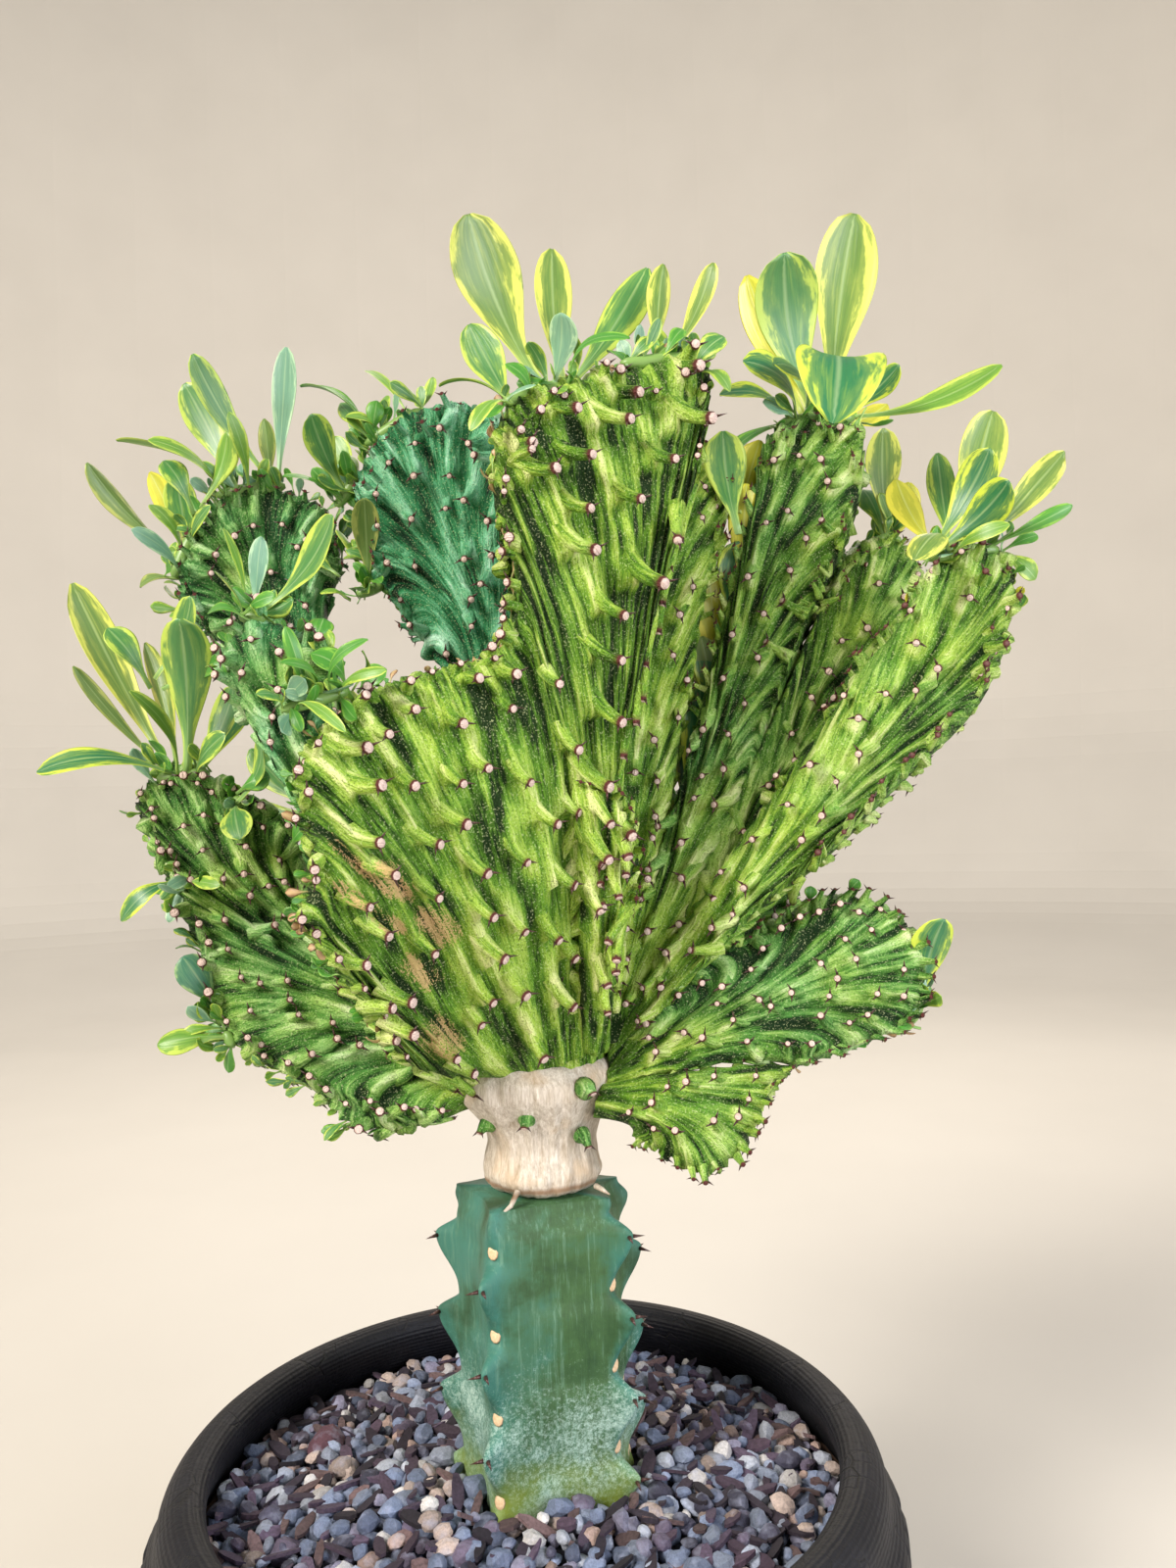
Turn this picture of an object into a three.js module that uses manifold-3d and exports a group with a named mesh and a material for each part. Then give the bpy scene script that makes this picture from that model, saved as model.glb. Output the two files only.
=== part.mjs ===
// A crested, variegated euphorbia grafted on a ribbed rootstock, growing in a black rubber pot.
// Millimetres, +Z up. The origin is the centre of the pot's underside; the best side faces -Y.
import * as THREE from "three";
import { mergeVertices } from "three/addons/utils/BufferGeometryUtils.js";
import Module from "manifold-3d";

const wasm = await Module();
wasm.setup();

// Driving dimensions
const GAP = 0.35; // clearance left between pieces that touch
const POT = { sides: 42, lugs: 20, grooveDepth: 5, treadFrom: 105, treadTo: 165 };
const MIX = { floor: 8, top: 156 };
const GRAVEL = { rings: 6, rimHeight: 164, moundHeight: 177, relief: 11 };
const STOCK = { x: 8, y: -5, foot: 112, top: 299.5, ribRadius: 42, shoulder: 9 };
const TOOTH = { height: 5.5, spacing: 34, notch: 0.74, onShoulder: 0.12 };
const STOCK_RIBS = [
  { angle: -118, lift: 6 },
  { angle: -30, lift: 20 },
  { angle: 16, lift: 2 },
  { angle: 95, lift: 24 },
  { angle: 168, lift: 12 },
];
const SPINE = { length: 6, width: 1.8 };
const COLLAR = { x: 11, y: -3, sides: 16 };
const HEART = { x: 16, y: -4, sides: 12 };
const LEAF = { thickness: 1.8, petiole: 0.18, stalk: 0.12, widest: 0.72 };

// The same draws every time, so that each build gives the same plant.
function seededDraw(seed) {
  let state = seed >>> 0;
  return () => {
    state = (state * 1664525 + 1013904223) >>> 0;
    return state / 4294967296;
  };
}

const lerp = THREE.MathUtils.lerp;
const smooth = THREE.MathUtils.smoothstep;
const radians = THREE.MathUtils.degToRad;
const vector = (p) => new THREE.Vector3(...p);

function geometryFrom(points, faces) {
  const geometry = new THREE.BufferGeometry();
  const positions = points.flatMap((p) => [p.x, p.y, p.z]);
  geometry.setAttribute("position", new THREE.Float32BufferAttribute(positions, 3));
  geometry.setIndex(faces.flat());
  return geometry;
}

function solidFrom(geometry) {
  const bare = geometry.clone();
  bare.deleteAttribute("normal");
  bare.deleteAttribute("uv");
  const merged = mergeVertices(bare, 1e-3);
  const triVerts = new Uint32Array(merged.index.array);
  const vertProperties = new Float32Array(merged.attributes.position.array);
  const made = new wasm.Manifold(new wasm.Mesh({ numProp: 3, vertProperties, triVerts }));
  if (made.volume() > 0) return made;
  for (let i = 0; i < triVerts.length; i += 3) {
    [triVerts[i], triVerts[i + 1]] = [triVerts[i + 1], triVerts[i]];
  }
  return new wasm.Manifold(new wasm.Mesh({ numProp: 3, vertProperties, triVerts }));
}

function geometryOf(solid) {
  const mesh = solid.getMesh();
  const positions = new Float32Array(mesh.numVert * 3);
  for (let i = 0; i < mesh.numVert; i++) {
    positions.set(mesh.vertProperties.subarray(i * mesh.numProp, i * mesh.numProp + 3), i * 3);
  }
  const geometry = new THREE.BufferGeometry();
  geometry.setAttribute("position", new THREE.BufferAttribute(positions, 3));
  geometry.setIndex(new THREE.BufferAttribute(new Uint32Array(mesh.triVerts), 1));
  return geometry;
}

// The one body that is left when a cut frees small scraps.
function largestBody(solid) {
  return solid.decompose().reduce((best, body) => (body.volume() > best.volume() ? body : best));
}

const fuse = (solids) => solids.reduce((all, next) => all.add(next));

// A closed skin over a grid of rings, each ring a closed loop of points, ended by a flat fan at each end.
function ringSolid(rings) {
  const sides = rings[0].length;
  const points = rings.flat();
  const faces = [];
  for (let j = 0; j < rings.length - 1; j++) {
    for (let i = 0; i < sides; i++) {
      const a = j * sides + i;
      const b = j * sides + ((i + 1) % sides);
      faces.push([a, b, b + sides], [a, b + sides, a + sides]);
    }
  }
  for (const [ring, flip] of [[0, true], [rings.length - 1, false]]) {
    const middle = points.length;
    points.push(rings[ring].reduce((sum, p) => sum.add(p), new THREE.Vector3()).divideScalar(sides));
    for (let i = 0; i < sides; i++) {
      const a = ring * sides + i;
      const b = ring * sides + ((i + 1) % sides);
      faces.push(flip ? [middle, b, a] : [middle, a, b]);
    }
  }
  return solidFrom(geometryFrom(points, faces));
}

const evenly = (sides) => Array.from({ length: sides }, (_, i) => (2 * Math.PI * i) / sides);

// A body of revolution whose radius may change with the angle: profile rows are [radius, height].
function turnedSolid({ x = 0, y = 0 }, angles, profile, shape = (radius) => radius) {
  return ringSolid(profile.map(([radius, z]) => angles.map((angle, column) => {
    const r = shape(radius, angle, z, column);
    return new THREE.Vector3(x + r * Math.cos(angle), y + r * Math.sin(angle), z);
  })));
}

// Catmull-Rom through points at uneven stations.
function through(points, stations, t) {
  let k = 0;
  while (k < stations.length - 2 && t > stations[k + 1]) k++;
  const slope = (i) => {
    const low = Math.max(i - 1, 0);
    const high = Math.min(i + 1, points.length - 1);
    return points[high].clone().sub(points[low]).divideScalar(stations[high] - stations[low]);
  };
  const span = stations[k + 1] - stations[k];
  const s = (t - stations[k]) / span;
  return new THREE.Vector3()
    .addScaledVector(points[k], 2 * s ** 3 - 3 * s ** 2 + 1)
    .addScaledVector(slope(k), span * (s ** 3 - 2 * s ** 2 + s))
    .addScaledVector(points[k + 1], 3 * s ** 2 - 2 * s ** 3)
    .addScaledVector(slope(k + 1), span * (s ** 3 - s ** 2));
}

// Crest lobes. Each is a fan of ribs that run from a short foot at the collar to the growing crest.
// A station is one rib line: the point at its waist, halfway out, and its point on the crest.
const LOBES = [
  { name: "front", ribs: 12, tips: 5, root: 12, rim: 6.5, foot: [[-5, -20, 352], [34, -20, 364]],
    stations: [
    [[-26, -42, 359], [-40, -60, 368]], [[-34, -58, 384], [-57, -86, 405]],
    [[-36, -68, 407], [-70, -98, 429]], [[-30, -76, 427], [-62, -102, 452]],
    [[-28, -80, 440], [-71, -100, 480]], [[-18, -76, 450], [-55, -82, 507]],
    [[-3, -70, 455], [-23, -70, 522]], [[11, -62, 459], [0, -60, 527]], [[21, -56, 472], [10, -56, 553]],
    [[28, -54, 480], [3, -64, 594]], [[33, -52, 485], [12, -58, 632]], [[37, -50, 488], [50, -47, 644]],
    [[41, -49, 486], [89, -42, 650]], [[46, -48, 474], [85, -50, 605]]] },
  { name: "middle", ribs: 4, tips: 4, root: 10, rim: 5, foot: [[29, -26, 365], [42, -24, 365]], stations: [
    [[31, -50, 434], [29, -62, 481]], [[37, -50, 437], [42, -62, 475]], [[43, -46, 431], [52, -56, 463]],
    [[45, -42, 421], [55, -50, 443]], [[46, -38, 408], [52, -44, 421]]] },
  { name: "centre", ribs: 6, tips: 5, root: 11, rim: 6, foot: [[33, -10, 361], [50, -6, 363]], stations: [
    [[36, 8, 456], [20, 30, 552]], [[44, 14, 476], [47, 40, 600]], [[54, 17, 487], [67, 44, 630]],
    [[62, 18, 486], [92, 44, 640]], [[68, 17, 476], [110, 40, 621]], [[72, 14, 460], [93, 34, 560]]] },
  { name: "right_column", ribs: 6, tips: 5, root: 11, rim: 6, foot: [[37, -6, 357], [50, -4, 359]],
    stations: [
    [[64, 9, 426], [91, 24, 505]], [[77, 13, 456], [106, 34, 562]], [[87, 16, 474], [120, 38, 612]],
    [[95, 17, 485], [129, 38, 642]], [[100, 17, 488], [151, 36, 650]], [[103, 16, 484], [173, 34, 639]],
    [[102, 14, 470], [164, 28, 591]], [[101, 8, 456], [145, 20, 560]]] },
  { name: "right_middle", ribs: 4, tips: 5, root: 10, rim: 6, foot: [[43, -4, 355], [52, -2, 355]],
    stations: [
    [[100, 6, 462], [148, 24, 556]], [[106, 10, 470], [167, 42, 587]], [[112, 12, 476], [191, 48, 592]],
    [[116, 12, 472], [202, 44, 563]], [[118, 10, 462], [184, 34, 536]], [[116, 6, 450], [161, 18, 516]],
    [[110, 3, 438], [158, 8, 497]]] },
  { name: "right_outer", ribs: 6, tips: 5, root: 11, rim: 6, foot: [[44, -4, 363], [46, -12, 344]],
    stations: [
    [[96, -2, 436], [152, 4, 508]], [[102, -4, 442], [176, 2, 538]], [[108, -7, 446], [194, -6, 567]],
    [[113, -9, 446], [212, -12, 577]], [[118, -11, 440], [224, -16, 560]],
    [[115, -12, 429], [211, -16, 511]], [[107, -13, 415], [173, -16, 474]],
    [[90, -14, 401], [135, -16, 438]]] },
  { name: "low_right_upper", ribs: 6, tips: 4, root: 10, rim: 6, foot: [[40, -14, 352], [40, -16, 343]],
    stations: [
    [[60, -12, 375], [72, -8, 393]], [[76, -10, 379], [97, 0, 401]], [[95, -8, 384], [120, 8, 412]],
    [[105, -8, 386], [144, 12, 422]], [[113, -8, 383], [169, 10, 416]], [[116, -10, 377], [183, 4, 399]],
    [[114, -14, 369], [180, -2, 372]], [[104, -20, 362], [153, -10, 358]],
    [[90, -24, 356], [120, -20, 352]]] },
  { name: "low_right_lower", ribs: 6, tips: 3, root: 10, rim: 5.5, foot: [[39, -18, 347], [34, -24, 334]],
    stations: [
    [[87, -24, 353], [120, -22, 353]], [[79, -28, 349], [111, -28, 344]], [[76, -30, 344], [103, -32, 334]],
    [[70, -33, 338], [95, -36, 321]], [[65, -33, 333], [80, -38, 314]], [[56, -30, 331], [61, -32, 321]],
    [[48, -28, 332], [50, -28, 327]]] },
  { name: "low_left", ribs: 7, tips: 4, root: 11, rim: 6, foot: [[-18, -16, 338], [-2, -8, 368]],
    stations: [
    [[-33, -24, 335], [-48, -26, 332]], [[-44, -24, 340], [-74, -26, 337]],
    [[-52, -22, 348], [-88, -24, 355]],
    [[-61, -20, 356], [-111, -20, 361]], [[-69, -16, 368], [-124, -16, 379]],
    [[-76, -12, 381], [-133, -10, 402]],
    [[-81, -6, 392], [-147, -4, 428]], [[-85, 0, 399], [-162, 4, 458]], [[-85, 4, 403], [-168, 8, 479]],
    [[-82, 8, 406], [-148, 12, 489]], [[-78, 10, 408], [-122, 16, 478]],
    [[-70, 10, 406], [-99, 15, 458]]] },
  { name: "back_left", ribs: 6, tips: 5, root: 10, rim: 6, foot: [[2, 6, 351], [24, 10, 352]], stations: [
    [[-10, 16, 470], [-37, 30, 548]], [[-7, 18, 485], [-56, 34, 571]], [[-4, 20, 498], [-67, 36, 599]],
    [[0, 21, 507], [-70, 37, 626]], [[5, 21, 512], [-54, 36, 650]], [[9, 20, 512], [-31, 34, 660]],
    [[13, 18, 508], [-5, 30, 656]], [[18, 16, 494], [13, 24, 625]]] },
  { name: "far_left", ribs: 5, tips: 5, root: 10, rim: 6, foot: [[-9, 4, 351], [-12, 0, 345]], stations: [
    [[-79, 34, 508], [-80, 48, 584]], [[-82, 36, 510], [-88, 52, 615]], [[-87, 36, 510], [-110, 50, 626]],
    [[-90, 34, 508], [-135, 46, 624]], [[-93, 32, 504], [-151, 40, 597]], [[-96, 30, 500], [-157, 36, 572]],
    [[-97, 28, 494], [-142, 30, 555]]] },
  { name: "left_neck", ribs: 4, tips: 3, root: 9, rim: 5, foot: [[-60, -84, 449], [-49, -82, 467]],
    stations: [
    [[-79, -84, 482], [-94, -74, 504]], [[-81, -82, 491], [-102, -66, 522]],
    [[-81, -80, 498], [-103, -60, 538]],
    [[-77, -78, 503], [-91, -58, 545]], [[-71, -80, 502], [-77, -58, 536]],
    [[-61, -84, 496], [-60, -66, 521]]] },
  { name: "back_high", ribs: 5, tips: 4, root: 11, rim: 6, foot: [[8, 16, 356], [34, 16, 358]], stations: [
    [[8, 52, 450], [-30, 84, 520]], [[18, 60, 468], [-22, 104, 574]], [[32, 64, 478], [14, 116, 600]],
    [[48, 64, 476], [58, 112, 592]], [[60, 58, 462], [92, 96, 556]], [[60, 50, 440], [88, 82, 500]]] },
  { name: "back_low_left", ribs: 5, tips: 4, root: 11, rim: 6, foot: [[-10, 4, 338], [4, 18, 354]],
    stations: [
    [[-50, 34, 350], [-84, 48, 352]], [[-62, 44, 376], [-118, 72, 398]], [[-56, 56, 402], [-116, 96, 452]],
    [[-40, 62, 416], [-82, 112, 486]], [[-20, 60, 414], [-36, 108, 470]]] },
  { name: "back_low_right", ribs: 5, tips: 4, root: 11, rim: 6, foot: [[22, 18, 354], [38, 4, 338]],
    stations: [
    [[46, 56, 408], [50, 100, 456]], [[66, 60, 410], [96, 108, 474]], [[82, 52, 396], [136, 94, 440]],
    [[84, 40, 372], [140, 72, 388]], [[70, 30, 348], [106, 48, 344]]] },
];

const RIB_HEIGHT = 1.8;
const TUBERCLE = { height: 8, hook: 5, comb: 4 };

// Reads a lobe's middle surface: u runs along the crest, v from the foot (0) to the crest (1).
function lobeSurface({ foot, stations }) {
  const waist = stations.map((s) => vector(s[0]));
  const crest = stations.map((s) => vector(s[1]));
  const marks = [0];
  for (let i = 1; i < crest.length; i++) marks.push(marks[i - 1] + crest[i].distanceTo(crest[i - 1]));
  const at = marks.map((m) => m / marks[marks.length - 1]);
  const [start, end] = foot.map(vector);
  return (u, v) => new THREE.Vector3()
    .addScaledVector(start.clone().lerp(end, u), (1 - v) * (1 - 2 * v))
    .addScaledVector(through(waist, at, u), 4 * v * (1 - v))
    .addScaledVector(through(crest, at, u), v * (2 * v - 1));
}

// A lobe's middle surface as a grid: columns run along the crest, rows from the foot to the crest.
function lobeGrid(lobe) {
  const surface = lobeSurface(lobe);
  const columns = 2 * lobe.ribs;
  const rows = 2 * lobe.tips;
  const grid = [];
  for (let i = 0; i <= columns; i++) {
    const rib = [];
    for (let j = 0; j <= rows; j++) {
      const v = j === 0 || j === rows ? j / rows : lerp(0.2, 0.96, (j - 1) / (rows - 2));
      rib.push(surface(i / columns, v));
    }
    grid.push(rib);
  }
  const cellNormal = (i, j) => {
    const diagonal = grid[i + 1][j + 1].clone().sub(grid[i][j]);
    return diagonal.cross(grid[i][j + 1].clone().sub(grid[i + 1][j]));
  };
  // The direction the lobe faces as a whole. Both faces stand off along this one direction, so that
  // they stay clear of each other where the ribs crowd together at the neck.
  const facing = new THREE.Vector3();
  for (let i = 0; i < columns; i++) {
    for (let j = 1; j < rows; j++) facing.add(cellNormal(i, j));
  }
  facing.normalize();
  // Where two ribs would cross, they are eased apart towards the mean of their neighbours.
  const corner = (p, q, r) => q.clone().sub(p).cross(r.clone().sub(p)).dot(facing);
  const folded = (i, j) => {
    const [a, b, c, d] = [grid[i][j], grid[i + 1][j], grid[i + 1][j + 1], grid[i][j + 1]];
    const least = Math.min(corner(a, b, d), corner(b, c, a), corner(c, d, b), corner(d, a, c));
    return least < 0.1 * a.distanceTo(c) * b.distanceTo(d);
  };
  for (let round = 0; round < 300; round++) {
    const moves = [];
    for (let i = 1; i < columns; i++) {
      for (let j = 1; j < rows; j++) {
        if (!(folded(i, j) || folded(i - 1, j) || folded(i, j - 1) || folded(i - 1, j - 1))) continue;
        const mean = grid[i - 1][j].clone().add(grid[i + 1][j]).add(grid[i][j - 1]).add(grid[i][j + 1]);
        moves.push([grid[i][j], mean.multiplyScalar(0.25)]);
      }
    }
    if (!moves.length) break;
    moves.forEach(([point, mean]) => point.lerp(mean, 0.5));
  }
  return { grid, columns, rows, facing };
}

// A lobe is a flattened fan with a toothed rim. Every second column is a rib, and every second
// crossing on a rib is a tubercle that stands out and hooks back towards the foot.
function lobeSolid(lobe) {
  const { grid, columns, rows, facing } = lobeGrid(lobe);
  const isTip = (i, j) => i % 2 === 0 && j > 0 && j < rows && (i / 2 + j) % 2 === 0;
  const points = [];
  const index = new Map();
  const put = (side, i, j) => {
    // Ribs divide on the way out: half of them start at the foot, and furrows open one row later.
    if (j === 0) i = Math.min(columns, 4 * Math.round(i / 4));
    if (j === 1) i = 2 * Math.round(i / 2);
    const shared = i === 0 || i === columns || j === rows;
    const key = `${shared ? 0 : side}:${i}:${j}`;
    if (index.has(key)) return index.get(key);
    const [before, after] = [grid[Math.max(i - 1, 0)][j], grid[Math.min(i + 1, columns)][j]];
    const [below, above] = [grid[i][Math.max(j - 1, 0)], grid[i][Math.min(j + 1, rows)]];
    const across = after.clone().sub(before);
    const along = above.clone().sub(below);
    const share = Math.min(1, across.length() / 13, along.length() / 21);
    across.normalize();
    along.normalize();
    const rib = i % 2 === 0;
    const point = grid[i][j].clone();
    let out = (rib ? RIB_HEIGHT : -RIB_HEIGHT / 2) * share;
    if (isTip(i, j)) {
      out += TUBERCLE.height * share;
      point.addScaledVector(along, -TUBERCLE.hook * share);
    }
    if (j === rows) point.addScaledVector(along, (rib ? TUBERCLE.comb : -TUBERCLE.comb / 2) * share);
    else if (shared) point.addScaledVector(across, i === 0 ? -out : out);
    else point.addScaledVector(facing, side * (lerp(lobe.root, lobe.rim, j / rows) + out));
    index.set(key, points.length);
    points.push(point);
    return points.length - 1;
  };
  const faces = [];
  const quad = (side, a, b, c, d, tipAtAOrC) => {
    const two = tipAtAOrC ? [[a, b, d], [b, c, d]] : [[a, b, c], [a, c, d]];
    for (const face of two) {
      if (new Set(face).size === 3) faces.push(side > 0 ? face : face.reverse());
    }
  };
  for (const side of [1, -1]) {
    for (let j = 0; j < rows; j++) {
      for (let i = 0; i < columns; i++) {
        const tip = isTip(i, j) || isTip(i + 1, j + 1);
        quad(side, put(side, i, j), put(side, i + 1, j), put(side, i + 1, j + 1), put(side, i, j + 1), tip);
      }
    }
  }
  for (let i = 0; i < columns; i++) {
    quad(1, put(1, i + 1, 0), put(1, i, 0), put(-1, i, 0), put(-1, i + 1, 0), false);
  }
  return solidFrom(geometryFrom(points, faces));
}

function crestSolid() {
  const profile = [[22, 336], [29, 346], [31, 358], [30, 370], [24, 382], [12, 388]];
  return fuse([turnedSolid(HEART, evenly(HEART.sides), profile), ...LOBES.map(lobeSolid)]);
}

// The scion's corky old base: a bulging foot ring, a waist, and a top that flares under the lobes.
function collarSolid(grow) {
  const profile = [
    [19, 300], [24.5, 303], [26, 308], [25, 314], [23.5, 320], [25, 328],
    [29, 336], [33, 343], [33.5, 350], [29, 357], [18, 361],
  ];
  const lumps = (radius, angle, z) => radius + grow
    + 1.5 * smooth(z, 318, 345) * Math.cos(2 * angle + 0.4) + 0.6 * Math.cos(5 * angle + z / 9);
  const grown = profile.map(([r, z], row) => {
    if (row === 0) return [r, z - grow];
    return row > 8 ? [r, z + grow] : [r, z];
  });
  return turnedSolid(COLLAR, evenly(COLLAR.sides), grown, lumps);
}

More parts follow.
